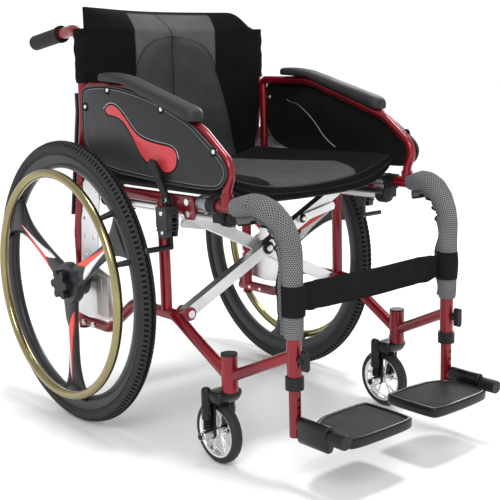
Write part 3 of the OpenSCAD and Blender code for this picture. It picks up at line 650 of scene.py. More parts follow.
def wheel(label, side):
    """Moulded wheel: rim, three spokes that flare into it, and the hub."""
    rim = [(276, 293), (270, 291.8), (256, 293.5), (249, 297), (246.8, 303), (246.8, 307), (249, 313),
           (256, 316.5), (270, 318.2), (276, 317)]
    parts = [revolve(rim, AXLE_CENTRE, 120, side)]
    section = superellipse(28, 0.72)
    for angle in SPOKE_ANGLES:
        rings = []
        for r in range(28, 256, 6):
            half = spoke_half(r)
            rings.append([spin(r, across * half, side * (SPOKE_MID_X + out * SPOKE_DEEP), angle)
                          for across, out in section])
        parts.append(loft(rings))
    hub = [(6.6, 274), (28, 274), (30, 276), (31, 292), (42, 297), (45, 301), (46, 309), (43, 318),
           (33, 320.5), (24, 321.8), (6.6, 321.8)]
    parts.append(revolve(hub, AXLE_CENTRE, 64, side))
    obj = make(f"{label}_mag_wheel", parts, f"{label}_rear_wheel", "wheel_plastic", 50)
    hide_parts(f"{label}_wheel")
    decals(label, side)


def decals(label, side):
    """Red and white wedges along each spoke, on its outer and inner face, which meet on its middle line."""
    share, shoulder = 0.95, 96
    for tone, sign, inner, tip in (("red", 1, 58, 222), ("white", -1, 64, 214)):
        spans = []
        for k in range(1, 12):
            spans.append((inner + (shoulder - inner) * k / 11, 1 - k / 11, 1))
        for k in range(1, 41):
            spans.append((shoulder + (tip - shoulder) * k / 40, 0, 1 - k / 40))
        parts = []
        for angle in SPOKE_ANGLES:
            for face in (1, -1):
                rows = [[lift(r, sign * share * (low + (high - low) * c / 4), side, angle, face)
                         for c in range(5)] for r, low, high in spans]
                parts.append(loft(rows, closed_rings=False, caps=False))
        obj = make(f"{label}_spoke_decals_{tone}", parts, f"{label}_rear_wheel", f"decal_{tone}", 60)
        thicken(obj, 0.0003)


def lift(r, t, side, angle, face):
    """Point on a spoke's outer (1) or inner (-1) face, a hair proud of it."""
    crown = 9.85 * max(1 - abs(t) ** 2.8, 0.0) ** 0.36
    return spin(r, t * spoke_half(r), side * (SPOKE_MID_X + face * crown), angle)


def thicken(obj, depth):
    """Gives a sheet a real thickness, in metres."""
    solid = obj.modifiers.new("thickness", "SOLIDIFY")
    solid.thickness = depth
    solid.offset = 0.0


def hand_rim(label, side):
    """Anodised hand rim on six black tabs with silver screws."""
    ring = circle(at(side * HAND_RIM_X, 0, AXLE_Z), HAND_RIM_R, 180, ALONG, UP)
    body = f"{label}_rear_wheel"
    obj = make(f"{label}_hand_rim_tube", [tube(ring, 9.5 * MM, 24, closed=True)], body, "hand_rim_metal")
    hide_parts(f"{label}_hand_rim")
    tabs, screws = [], []
    for angle in SPOKE_ANGLES:
        for turn in (-12, 12):
            stations = ((256, 308), (252, 316), (247, 325), (242, 333), (240, 338))
            path = [spin(r, 0, side * x, angle + turn) for r, x in stations]
            tabs.append(tube(path, lambda share, _: (7.0 - 2.2 * share) * MM, 14))
            screws.append(button(spin(247, 0, side * 328, angle + turn), 3.4, 2.4, (side, 0, 0)))
    make(f"{label}_hand_rim_tabs", tabs, body, "black_plastic")
    make(f"{label}_hand_rim_screws", screws, body, "bolt_steel")


# ---------------------------------------------------------------- casters

CASTER_X = 236.0
CASTER_AXLE_FWD = 411.0
CASTER_R = 62.5
CROWN_FWD, STEM_FWD = 430.0, 448.0
LEG_OFF, SHOCK_OFF = 17.5, 29.0


def capsule(x, fwd, z0, z1, radius, sides=24):
    """Upright rod with rounded ends, as rings for a loft."""
    stations = ((0.35, z0), (0.8, z0 + 0.15 * radius), (1.0, z0 + 0.5 * radius), (1.0, z1 - 0.7 * radius),
                (0.85, z1 - 0.25 * radius), (0.45, z1))
    return loft([circle(at(x, fwd, z), share * radius, sides) for share, z in stations])


def caster_fork(label, side):
    """Fork: rounded crown, flat legs, and a shock housing with a rod outside each leg."""
    crown = []
    section = superellipse(32, 0.5)
    levels = ((126, -9, -6), (128, -5, -4), (134, -2, -2), (143, 0, 0), (149, -1, 0), (152, -4, 1),
              (153, -9, 2))
    for z, grow, ahead in levels:
        crown.append([at(side * CASTER_X + a * (33 + grow), CROWN_FWD + ahead + b * (23 + grow), z)
                      for a, b in section])
    stem = [circle(at(side * CASTER_X, STEM_FWD, z), 12, 28) for z in (150, 200, 219)]
    parts = [loft(crown), loft(stem)]
    leg = smooth_outline([(398, 142), (400, 110), (398, 58), (411, 50), (424, 58), (422, 110), (430, 142)])
    for s in (-1, 1):
        parts.append(plate(leg, CASTER_X + s * LEG_OFF - 2.5, CASTER_X + s * LEG_OFF + 2.5, side))
        x = side * CASTER_X + s * SHOCK_OFF
        parts.append(capsule(x, CASTER_AXLE_FWD, 91, 158, 9.6))
        parts.append(capsule(x, CASTER_AXLE_FWD, 62, 95, 3.2, 12))
        for z in (98, 103):
            parts.append(tube(circle(at(x, CASTER_AXLE_FWD, z), 9.7, 28), 0.9 * MM, 6, closed=True))
        parts.append(button(at(side * CASTER_X + s * 38.4, CASTER_AXLE_FWD, 120), 4.0, 1.6, (s, 0, 0)))
    obj = make(f"{label}_fork_with_shocks", parts, f"{label}_fork", "black_metal", 50)
    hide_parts(f"{label}_caster_fork")
    ends = []
    for s in (-1, 1):
        place = at(side * CASTER_X + s * 45.5, CASTER_AXLE_FWD, CASTER_R)
        ends.append(button(place, 6.4, 3.2, (s, 0, 0), socket=False))
    make(f"{label}_caster_axle_ends", ends, f"{label}_caster_carrier", "black_plastic")


def caster(label, side):
    """Caster wheel: rim with ten thin spokes and a hub, and its tyre."""
    centre = ((AXLE_Y - CASTER_AXLE_FWD) * MM, CASTER_R * MM)
    body = f"{label}_caster"
    rim = [(50.5, -10), (48, -10.4), (45.5, -9), (44.5, -6), (46.5, -4.5), (46.5, 4.5), (44.5, 6), (45.5, 9),
           (48, 10.4), (50.5, 10)]
    parts = [revolve([(r, CASTER_X + x) for r, x in rim], centre, 80, side)]
    hub = [(5.2, -13), (9, -13), (10.5, -11), (11, 0), (10.5, 11), (9, 13), (5.2, 13)]
    parts.append(revolve([(r, CASTER_X + x) for r, x in hub], centre, 32, side))
    for k in range(5):
        for s in (-1, 1):
            a0 = math.radians(72 * k + 18 + s * 4)
            a1 = math.radians(72 * k + 18 + s * 13)
            path = []
            for i in range(9):
                share = i / 8
                r, a = 8 + 39 * share, a0 + (a1 - a0) * share
                fwd, z = CASTER_AXLE_FWD - r * math.cos(a), CASTER_R + r * math.sin(a)
                path.append(at(side * CASTER_X, fwd, z))
            parts.append(tube(path, lambda share, _: (3.0 - 0.9 * math.sin(math.pi * share)) * MM, 10))
    obj = make(f"{label}_caster_rim", parts, body, "caster_alloy", 50)
    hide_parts(f"{label}_caster_wheel")
    profile = [(50, -10.6), (53, -11), (57, -10.6), (57.6, -9.8), (60, -8.4), (62, -5), (62.5, 0), (62, 5),
               (60, 8.4), (57.6, 9.8), (57, 10.6), (53, 11), (50, 10.6)]
    tread = revolve([(r, CASTER_X + x) for r, x in profile], centre, 96, side)
    obj = make(f"{label}_caster_tread", [tread], body, "tyre_rubber", 30)
    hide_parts(f"{label}_caster_tyre")


def caster_coils(label, side):
    """Coil springs on the rods above the caster's axle."""
    coils = []
    coil_turns, steps = 4, 112
    for off in (-SHOCK_OFF, SHOCK_OFF):
        path = []
        for i in range(steps + 1):
            a = 2 * math.pi * coil_turns * i / steps
            centre = at(side * CASTER_X + off, CASTER_AXLE_FWD, 73.4 + 17.2 * i / steps)
            path.append(centre + Vector((math.cos(a), math.sin(a), 0)) * 6.6 * MM)
        coils.append(tube(path, 1.4 * MM, 8))
    obj = make(f"{label}_caster_coils", coils, f"{label}_fork", "black_metal")
    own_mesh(obj)
    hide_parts(f"{label}_caster_springs")


# ---------------------------------------------------------------- brakes, rail and folding frame


def along_fwd(x, z, stations):
    """Turned part along the chair; stations are (fwd, radius) in mm."""
    return loft([circle(at(x, fwd, z), radius, 32, ACROSS, UP) for fwd, radius in stations])


def brake(label, side):
    """Rounded brake lever with its pivot bolt, and trim on the brake's body."""
    section = superellipse(24, 0.6)
    rings = []
    for i in range(22):
        share = i / 21
        end = min(min(share, 1 - share) / 0.07, 1.0)
        wide = 0.35 + 0.65 * math.sqrt(end * (2 - end))
        x, fwd, z = 263 + 12 * share, 314 - 37 * share, 494 + 90 * share
        wide *= 1 + 0.12 * smooth_step(share, 0.25, 0.5)
        rings.append([at(side * (x + a * 5.8 * wide), fwd + b * 8.6 * wide, z) for a, b in section])
    handle = f"{label}_brake_handle"
    lever = make(f"{label}_brake_grip", [loft(rings)], handle, "black_plastic", 60)
    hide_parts(f"{label}_brake_lever")
    pivot = button(at(side * 269, 308, 507), 5.6, 3.0, (side, 0, 0))
    make(f"{label}_brake_pivot_bolt", [pivot], handle, "bolt_steel")
    trims = []
    for z, x1 in ((492, 287.4), (466, 288.2)):
        for k in range(3):
            high = z - 7 * k
            low = high - 2.2
            outline = [(301, high), (335.4, high), (335.4, low), (301, low)]
            trims.append(plate(outline, 262, x1, side, 0.6))
    make(f"{label}_brake_body_ribs", trims, f"{label}_frame", "satin_plastic")
    bolts = [button(at(side * 287.6, fwd, z), radius, height, (side, 0, 0))
             for fwd, z, radius, height in ((318, 484, 5.0, 2.2), (320, 447, 4.0, 1.8))]
    make(f"{label}_brake_body_bolts", bolts, f"{label}_frame", "bolt_steel")


def rail_parts(label, side, other):
    """Grey clamp and black ring on the seat rail, ribs of the saddles and the seat tube's end caps."""
    body = f"{label}_frame"
    clamp_part = along_fwd(side * RAIL_X, RAIL_Z, [(386, 12), (386.6, 15.4), (388, 16.2), (414, 16.2),
                                                   (415.4, 15.4), (416, 12)])
    lug = button(at(side * RAIL_X, 401, RAIL_Z - 15.6), 5, 3.4, (0, 0, -1))
    make(f"{label}_rail_clamp", [clamp_part, lug], body, "clamp_grey")
    ring = along_fwd(side * RAIL_X, RAIL_Z, [(416, 12), (416.4, 15.6), (418, 16.4), (420.6, 16.4), (422, 15),
                                             (422, 12)])
    make(f"{label}_rail_ring", [ring], body, "black_plastic")
    ribs = []
    for start in (91, 420):
        for k in range(4):
            arc = [at(side * (SEAT_TUBE_X + 17.2 * math.cos(a)), start + 2.5 + 5 * k,
                      SEAT_TUBE_Z + 17.2 * math.sin(a))
                   for a in (math.radians(172 + 9.3 * n) for n in range(21))]
            ribs.append(tube(arc, 1.3 * MM, 8))
    make(f"{label}_saddle_ribs", ribs, body, "black_plastic")
    caps = []
    for fwd, turn in ((440, 1), (18, -1)):
        cap = [(fwd - turn * 2, 9), (fwd - turn * 1.5, 15.4), (fwd, 16.4), (fwd + turn * 4, 16),
               (fwd + turn * 5.4, 14.2)]
        caps.append(along_fwd(side * SEAT_TUBE_X, SEAT_TUBE_Z, cap))
        caps.append(button(at(side * SEAT_TUBE_X, fwd + turn * 5.2, SEAT_TUBE_Z), 8, 1.4, (0, -turn, 0)))
    make(f"{label}_seat_tube_caps", caps, f"{other}_cross", "black_plastic")


def cross_hardware():
    """Black washers and silver domes on the bolts of the folding frame."""
    cross_z, link_x, link_z = 376, 95, 428
    front, rear = (0, -1, 0), (0, 1, 0)
    washers = [button(at(0, 297.8, cross_z), 14, 5.0, front), button(at(0, 256.2, cross_z), 14, 5.0, rear)]
    dome = button(at(0, 301.6, cross_z), 7.6, 3.6, front, socket=False)
    make("cross_bolt_washers", washers, "right_cross", "black_plastic")
    make("cross_bolt_dome", [dome], "right_cross", "bolt_steel")
    for label, side in SIDES.items():
        face, turn = (303.6, front) if side < 0 else (250.4, rear)
        washer = button(at(-side * link_x, face, link_z), 9.6, 3.6, turn)
        bolt = button(at(-side * link_x, face - turn[1] * 3.2, link_z), 5.4, 2.6, turn, socket=False)
        make(f"{label}_link_washer", [washer], f"{label}_cross", "black_plastic")
        make(f"{label}_link_bolt", [bolt], f"{label}_cross", "bolt_steel")


# ---------------------------------------------------------------- footplates

PLATE_OUTLINE = [(27, 608), (38, 598), (130, 599.5), (154, 604), (197, 627), (197, 690), (194.5, 713),
                 (182, 725), (100, 727.5), (38, 725.5), (27, 714)]
PLATE_LEVELS = ((3.5, 100.2), (1.0, 102), (0, 105), (0, 117), (1.2, 119.4), (3, 120), (6.5, 120), (8, 119.4),
                (9.5, 117.4))
HINGE_X, HINGE_Z = 212.0, 121.0


def footplate(label, side):
    """Footplate with a raised border round its tread, rounded hinge block and ribbed end knob."""
    outline = smooth_outline(PLATE_OUTLINE)
    board = loft(inset_rings(outline, PLATE_LEVELS, lambda p, z: at(side * p[0], p[1], z)))
    tread = loft([[at(side * p[0], p[1], z) for p in inset_outline(outline, 9.6)] for z in (117.0, 117.9)])
    shape = smooth_outline([(201, 91), (223, 91), (223.2, 126), (220, 137), (212, 140.4), (204, 137),
                            (200.8, 126)], 2)
    ends = ((2.4, 616.2), (0.8, 616.9), (0, 618.5), (0, 687.5), (0.8, 689.2), (2.4, 690))
    block = loft(inset_rings(shape, ends, lambda p, fwd: at(side * p[0], fwd, p[1])))
    body = f"{label}_foot_plate"
    obj = make(f"{label}_foot_board", [board, block], body, "black_metal", 50)
    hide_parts(f"{label}_footplate")
    make(f"{label}_foot_tread", [tread], body, "tread_plastic")
    knob = []
    for fwd, radius in ((692, 9), (692.6, 12.2), (695, 12.9), (724, 12.9), (727, 12.6), (727.9, 9)):
        ring = []
        for a in turns(84):
            r = radius + 0.5 * math.cos(14 * a)
            ring.append(at(side * (HINGE_X + r * math.cos(a)), fwd, HINGE_Z + r * math.sin(a)))
        knob.append(ring)
    make(f"{label}_hinge_knob", [loft(knob)], f"{label}_footrest", "black_plastic", 50)


# ---------------------------------------------------------------- armrests

PANEL_OUTLINE = [(8, 556), (8, 700), (20, 722), (120, 724), (244, 704.5), (330, 676), (384, 655), (398, 646),
                 (452, 611), (484, 585), (487, 562), (470, 541), (440, 534), (300, 537)]
INLAY = [(98, 674.5), (115, 684), (138, 683), (167, 664), (197, 636), (223, 621), (272, 612), (318, 609),
         (337, 602), (342, 587), (335, 568), (314, 559), (292, 560), (280, 574), (267, 580), (247, 573),
         (229, 583), (212, 600), (195, 622), (180, 640), (157, 656), (132, 662), (107, 664)]
INLAY_LINE = [(94, 676), (112, 688), (140, 687), (170, 668), (200, 640), (225, 625.5), (273, 616.5),
              (319, 613.5), (341, 605), (347, 587)]
INNER_LINE = [(84, 673.8), (92.6, 668.2), (117.9, 664.3), (138.9, 652.6), (164.8, 634.1), (185.2, 615.5),
              (201.4, 596.5), (223.9, 579), (244.4, 567.9)]
PANEL_SCREWS = [(110.4, 713.2), (22.4, 678.5), (295.1, 678.3), (451.4, 605.6)]
PANEL_IN, PANEL_OUT = 256.2, 261.0


def pad_top(fwd):
    """Height of the armrest pad's top, which drops towards its front."""
    return 748 - 0.0014 * clamp(fwd - 100, 0, 100) ** 2 - 0.28 * max(fwd - 200, 0)


def pad_bottom(fwd):
    """Height of the armrest pad's underside."""
    return 730.2 - 0.328 * max(fwd - 170, 0) - 5 * smooth_step(fwd, 90, 170)


def arm_pad(label, side):
    """Moulded armrest pad: domed top, a crease along each side and rounded ends."""
    rear, front, middle_x, half = 84.0, 395.0, 249.0, 22.0
    rear_round, front_round = 12.0, 26.0
    section = []
    for a in turns(40):
        c, s = math.cos(a), math.sin(a)
        x = math.copysign(abs(c) ** 0.55, c)
        z = math.copysign(abs(s) ** (0.62 if s > 0 else 0.4), s)
        crease = 0.045 * math.exp(-((s - 0.28) / 0.14) ** 2)
        section.append((x * (1 - crease) * (1 - 0.10 * max(s, 0)), z))
    rings = []
    stations = [rear + 0.3 + rear_round * (1 - math.cos(math.pi / 2 * k / 6)) for k in range(7)]
    stations += [100 + 10 * k for k in range(27)]
    stations += [front - front_round + 25.7 * math.sin(math.pi / 2 * k / 9) for k in range(1, 10)]
    for fwd in sorted(set(stations)):
        front_share = clamp((fwd - (front - front_round)) / front_round)
        rear_share = clamp((rear + rear_round - fwd) / rear_round)
        narrow = math.sqrt(max(1 - front_share ** 2.4, 0.0)) * math.sqrt(max(1 - rear_share ** 2.2, 0.0))
        top, bottom = pad_top(fwd), pad_bottom(fwd)
        mid, high = (top + bottom) / 2, (top - bottom) / 2
        wide = half * (0.25 + 0.75 * narrow)
        tall = high * (0.45 + 0.55 * narrow)
        rings.append([at(side * middle_x + x * wide, fwd, mid + z * tall) for x, z in section])
    obj = make(f"{label}_arm_cushion", [loft(rings)], f"{label}_armrest", "pad_foam", 60)
    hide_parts(f"{label}_arm_pad")


def side_panel(label, side):
    """Side panel with a raised rim line, round notches at its screws, a red inlay and a silver line; painted
    shade darkens its inner face, its grooves and its notches.
    """
    body = f"{label}_armrest"
    outline = smooth_outline(PANEL_OUTLINE, 3)
    board = plate(outline, PANEL_IN, PANEL_OUT, side, 1.2)
    panel = make(f"{label}_clothes_guard", [board], body, "panel_plastic", 50)
    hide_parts(f"{label}_side_panel")
    # the inner face gets the darker copy of the panel plastic: painted shade
    lining = inset_outline(outline, 1.5)
    make(f"{label}_clothes_guard_inner_shade", [plate(lining, 255.6, 256.6, side, 0.3)], body, "panel_inside")
    # the groove between rim and bead is drawn as a near-black line: painted shade in the recess
    for part, inward, r, key in (("rim", 1.6, 1.9, "satin_plastic"), ("groove", 4.6, 1.3, "panel_inside"),
                                 ("bead", 7.2, 0.8, "clamp_grey")):
        loop = [at(side * 260.6, p[0], p[1]) for p in inset_outline(outline, inward)]
        make(f"{label}_clothes_guard_{part}", [tube(loop, r * MM, 8, closed=True)], body, key)
    cups, screws = [], []
    for fwd, z in PANEL_SCREWS:
        # each notch is a near-black ring and disc round its screw: painted shade in the recess
        ring = circle(at(side * PANEL_OUT, fwd, z), 8, 28, ALONG, UP)
        cups.append(tube(ring, 1.5 * MM, 8, closed=True))
        cups.append(button(at(side * 260.6, fwd, z), 7.4, 1.0, (side, 0, 0), socket=False))
        for sign in (1, -1):
            centre = at(side * (261.2 if sign > 0 else 255.8), fwd, z)
            screws.append(button(centre, 4.6, 1.9, (side * sign, 0, 0)))
    make(f"{label}_panel_notch_shade", cups, body, "panel_inside")
    make(f"{label}_panel_screws", screws, body, "bolt_steel")
    inlay = smooth_outline(INLAY, 2)
    make(f"{label}_panel_inlay", [plate(inlay, 260, 262.2, side, 0.9)], body, "inlay_red")
    # the groove round the inlay is a near-black line: painted shade
    groove = [at(side * 261.1, p[0], p[1]) for p in inset_outline(inlay, -1.5)]
    make(f"{label}_inlay_groove_shade", [tube(groove, 1.5 * MM, 8, closed=True)], body, "panel_inside")
    lines = []
    for x, line, r in ((261.5, INLAY_LINE, 0.9), (255.5, INNER_LINE, 1.3)):
        path = [at(side * x, p[0], p[1]) for p in smooth_outline(line, 3, closed=False)]
        lines.append(tube(path, r * MM, 8))
    make(f"{label}_silver_line", lines, body, "silver_line")


# ---------------------------------------------------------------- leg sleeves and calf strap

HANGER_X, HANGER_FWD = 212.0, 602.0
TOE_IN_FWD = 480.0
SLEEVE_FWD, SLEEVE_END_Z = 481.0, 282.0


def leg_sleeve(label, side):
    """Spacer mesh sleeve over the front bend, closed by a wavy bound seam on its inner side."""
    toe = (RAIL_X - HANGER_X) / (HANGER_FWD - TOE_IN_FWD)
    start = at(side * (RAIL_X - toe * (SLEEVE_FWD - TOE_IN_FWD)), SLEEVE_FWD, RAIL_Z)
    rise = at(side * (RAIL_X - toe * 38), 518, RAIL_Z + 8)
    corner = at(side * (HANGER_X + 2), HANGER_FWD + 1, RAIL_Z + 9)
    end = at(side * (HANGER_X + 1), HANGER_FWD, SLEEVE_END_Z)
    path = bent_path([start, rise, corner, end], [60, 84], 3.0)
    body = f"{label}_frame"

    def girth(share, angle):
        ends = 1 - 0.16 * math.exp(-share / 0.02) - 0.10 * math.exp(-(1 - share) / 0.015)
        ripple = 0.4 * math.sin(share * 46 + 2 * math.sin(angle)) * math.exp(-((share - 0.42) / 0.25) ** 2)
        full = 18.6 + 3.2 * math.exp(-((share - 0.28) / 0.22) ** 2)
        return (full * ends + ripple) * MM

    sleeve = make(f"{label}_mesh_sleeve", [tube(path, girth, 40)], body, "mesh_fabric", 80)
    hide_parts(f"{label}_leg_sleeve")
    bend_centre = at(side * (HANGER_X + 18), HANGER_FWD - 95, RAIL_Z - 100)
    bound, lining = [], []
    for i, (p, (d, _, _)) in enumerate(zip(path, frames(path))):
        share = i / (len(path) - 1)
        inward = bend_centre - p
        inward = (inward - d * inward.dot(d)).normalized()
        across = d.cross(inward)
        wave = 4.0 * math.sin(share * 34) + 2.0 * math.sin(share * 71 + 1)
        flap = 31 + 3.6 * math.sin(share * 30 + 0.6) * math.exp(-((share - 0.3) / 0.25) ** 2)
        bound.append(p + inward * flap * MM + across * wave * MM)
        rows = ((17, wave * 0.3 - 1.5), (flap - 3, wave * 0.8 - 2.2), (flap - 1, wave * 0.6 - 3.0))
        lining.append([p + inward * reach * MM + across * shift * MM for reach, shift in rows])
    make(f"{label}_sleeve_binding", [tube(bound, 3.2 * MM, 10)], body, "strap_webbing")
    flap = make(f"{label}_sleeve_flap", [loft(lining, False, False)], body, "mesh_fabric", 80)
    thicken(flap, 0.0016)


STRAP_Z = (323.0, 376.0)
STRAP_FWD = 594.0


def calf_strap():
    """Wide calf band between two cuffs, with a slack fold by each cuff."""
    low, high = STRAP_Z
    half = 193
    rings = []
    for i in range(97):
        x = half * (2 * i / 96 - 1)
        share = abs(x) / half
        sag = 5 * (1 - share ** 2)
        fold = 3.5 * math.exp(-((abs(x) - 158) / 9) ** 2) - 2.5 * math.exp(-((abs(x) - 140) / 8) ** 2)
        pinch = 4.0 * math.exp(-((abs(x) - 186) / 14) ** 2)
        front = STRAP_FWD - 8 * (1 - share ** 4) + fold
        ring = []
        for k in range(9):
            z = low + pinch - sag + (high - low - 2 * pinch) * k / 8
            ring.append(at(x, front + 0.9 * math.sin(k * 0.9 + x * 0.045), z))
        rings.append(ring)
    band = make("calf_band", [loft(rings, False, False)], None, "strap_webbing", 80)
    thicken(band, 0.003)
    apply_modifiers(band)
    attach(band, "right_frame")
    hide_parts("calf_strap")
    fold_with_frame(band)
    for label, side in SIDES.items():
        cuff = [at(side * HANGER_X, HANGER_FWD, low - 1 + (high - low + 2) * i / 12) for i in range(13)]
        part = tube(cuff, cuff_girth, 40)
        make(f"{label}_calf_cuff", [part], f"{label}_frame", "strap_webbing", 60)


def cuff_girth(share, angle):
    """Radius of a cuff, with soft creases round it."""
    return (21.2 + 0.8 * math.sin(math.pi * share) + 0.5 * math.sin(3 * angle + 5 * share)) * MM


def apply_modifiers(obj):
    """Turns an object's modifiers into its mesh."""
    graph = bpy.context.evaluated_depsgraph_get()
    mesh = bpy.data.meshes.new_from_object(obj.evaluated_get(graph))
    obj.modifiers.clear()
    old = obj.data
    obj.data = mesh
    bpy.data.meshes.remove(old)


# ---------------------------------------------------------------- seat and back

SEAT_HALF = 222.0
BACK_HALF = 241.0
BACK_LOW = 500.0
CROSSING_Z = 824.0
LOBE_WIDEST_Z = 745.0


def fold_with_frame(obj):
    """Gives a piece its own copy of its mesh."""
    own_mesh(obj)


def quilt(upper, lower, levels=(), between=None):
    """Closed form between two grids of points; between(p, q, level) gives extra points round its border."""
    rows, cols = len(upper) - 1, len(upper[0]) - 1
    width, offset = cols + 1, (rows + 1) * (cols + 1)
    verts = [p for grid in (upper, lower) for row in grid for p in row]
    faces = []
    for i in range(rows):
        for j in range(cols):
            a = i * width + j
            quad = [a, a + 1, a + width + 1, a + width]
            faces += [quad, [offset + k for k in reversed(quad)]]
    border = [(0, j) for j in range(cols)] + [(i, cols) for i in range(rows)]
    border += [(rows, j) for j in range(cols, 0, -1)] + [(i, 0) for i in range(rows, 0, -1)]
    loops = [[i * width + j for i, j in border]]
    for level in levels:
        start = len(verts)
        verts += [between(verts[k], verts[offset + k], level) for k in loops[0]]
        loops.append(list(range(start, len(verts))))
    loops.append([offset + k for k in loops[0]])
    for a, b in zip(loops, loops[1:]):
        for k in range(len(a)):
            n = (k + 1) % len(a)
            faces.append([a[k], a[n], b[n], b[k]])
    return verts, faces, loops


def seat_top(x, fwd):
    """Height of the cushion's top: it hangs between the seat tubes, and is crowned between its edges."""
    share = abs(x) / SEAT_HALF
    hang = 531 + 36 * share ** 2.5
    crown = 7 * (1 - share ** 4) * clamp((445 - fwd) / 60) ** 0.5
    tilt = 4 * (x / SEAT_HALF) * smooth_step(fwd, 200, 445)
    return hang + crown + tilt


def seat_bottom(x):
    """Height of the cushion's underside, which follows the sling and turns up at the seat tubes."""
    share = abs(x) / SEAT_HALF
    return 495 + 4 * share ** 2 + 34 * share ** 5


def mark_zones(obj, **zones):
    """Stores zones on the mesh, each by a function of how far inside it a place lies; 0.5 is its border."""
    for name, inside in zones.items():
        layer = obj.data.attributes.new(name, "FLOAT", "POINT")
        for vertex in obj.data.vertices:
            place = vertex.co / MM
            layer.data[vertex.index].value = clamp(0.5 + inside(place.x, AXLE_Y - place.y, place.z) / ZONE_MM)


def never(x, fwd, z):
    """A zone that holds no place."""
    return -ZONE_MM


def in_seat_mesh(x, fwd, z):
    """How far inside the grey panel of the cushion's top a place lies, in mm."""
    left = 110 + 0.13 * (min(fwd, 349) - 73) - 0.33 * max(fwd - 349, 0)
    right = -88 - 0.2 * max(fwd - 290, 0)
    under = z - (seat_top(x, fwd) - 14)
    return min(left - x, x - right, 443 - fwd, under * 4)


def seat_cushion():
    """Sagging cushion with rounded edges: black cover with a grey panel, and piping round its border."""
    cells = 46
    rear, front = 10.0, 445.0
    top, bottom = [], []
    for i in range(cells + 1):
        share = i / cells
        fwd = rear + (front - rear) * share
        row_t, row_b = [], []
        for j in range(cells + 1):
            x = SEAT_HALF * (2 * j / cells - 1)
            edge = min(fwd - rear, front - fwd, SEAT_HALF - abs(x))
            drop = 9 * (1 - clamp(edge / 16)) ** 2
            hollow = 8 * (x / SEAT_HALF) ** 2 * share
            seam = 1.6 * math.exp(-((edge - 20) / 3.0) ** 2)
            row_t.append(at(x, fwd - hollow, seat_top(x, fwd) - drop - seam))
            row_b.append(at(x, fwd - hollow, seat_bottom(x) + drop * 0.6))
        top.append(row_t)
        bottom.append(row_b)

    def border_point(p, q, level):
        """The border swells outwards, and pulls in half way down, where the piping runs."""
        out = p - Vector((0, (AXLE_Y - 225) * MM, p.z))
        swell = 5 * MM * math.sin(math.pi * level) * (0.35 if level == 0.5 else 1.0)
        return p.lerp(q, level) + out.normalized() * swell

    verts, faces, loops = quilt(top, bottom, (0.25, 0.5, 0.75), border_point)
    uvs = []
    for face in faces:
        pts = [verts[k] for k in face]
        flat = abs((pts[1] - pts[0]).cross(pts[2] - pts[0]).normalized().z) > 0.5
        uvs.append([(p.x, p.y) if flat else (p.x + p.y, p.z) for p in pts])
    cushion = make("seat_pad", [(verts, faces, uvs)], None, "seat_fabric", 70)
    mark_zones(cushion, grey=in_seat_mesh, lobe=never, middle=never)
    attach(cushion, "right_frame")
    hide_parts("seat_cushion")
    fold_with_frame(cushion)
    pipes = [tube([verts[k] for k in loop], 1.7 * MM, 8, closed=True) for loop in loops[::2]]
    trim = make("seat_piping", pipes, "right_frame", "piping")
    fold_with_frame(trim)


def back_front(x, z):
    """How far ahead of the rear axle the back's front face lies."""
    share = min(abs(x) / BACK_HALF, 1.0)
    lean = -12 + (z - 660) * 0.19 if z < 660 else -12
    sag = 19 * (1 - share ** 2.2) * smooth_step(z, 470, 600)
    roll = 56 * (1 - share ** 2) ** 1.75 * max((z - CROSSING_Z) / 56, 0) ** 1.5
    return lean + 15 - sag - roll


def back_top(x):
    """Height of the back's top edge: square at the right corner, sloping at the left one."""
    return 884 - 0.012 * (x + 225) - 40 * smooth_step(x, 165, 232) ** 1.4


def grey_half(x, z):
    """Half width of the back's grey middle part at a height; the left half is the wider one."""
    return (120 if x > 0 else 103) + max(LOBE_WIDEST_Z - z, 0) * 0.33


def lobe_half(x, z):
    """Half width of the two padded lobes at a height, which narrows to their crossing."""
    above = max(z - LOBE_WIDEST_Z, 0) / (CROSSING_Z - LOBE_WIDEST_Z)
    return grey_half(x, z) * math.sqrt(max(1 - above ** 2, 0.0))


def in_back_mesh(x, fwd, z):
    """How far inside the grey middle part of the back a place lies, in mm."""
    behind = fwd - (back_front(x, z) - 12)
    return min(grey_half(x, z) - abs(x), back_top(x) - 7 - z, behind * 4)


def past_middle(x, fwd, z):
    """How far left of the back's middle seam a place lies; the seam slants above the crossing."""
    return x + max(z - CROSSING_Z, 0) * 0.32


def in_lobe(x, fwd, z):
    """How far inside the two padded lobes of the back a place lies, in mm."""
    return min(lobe_half(x, z) - abs(x), CROSSING_Z - z)


def near_line(distance, width):
    """1 on a line, and soon 0 away from it."""
    return math.exp(-(distance / width) ** 2)


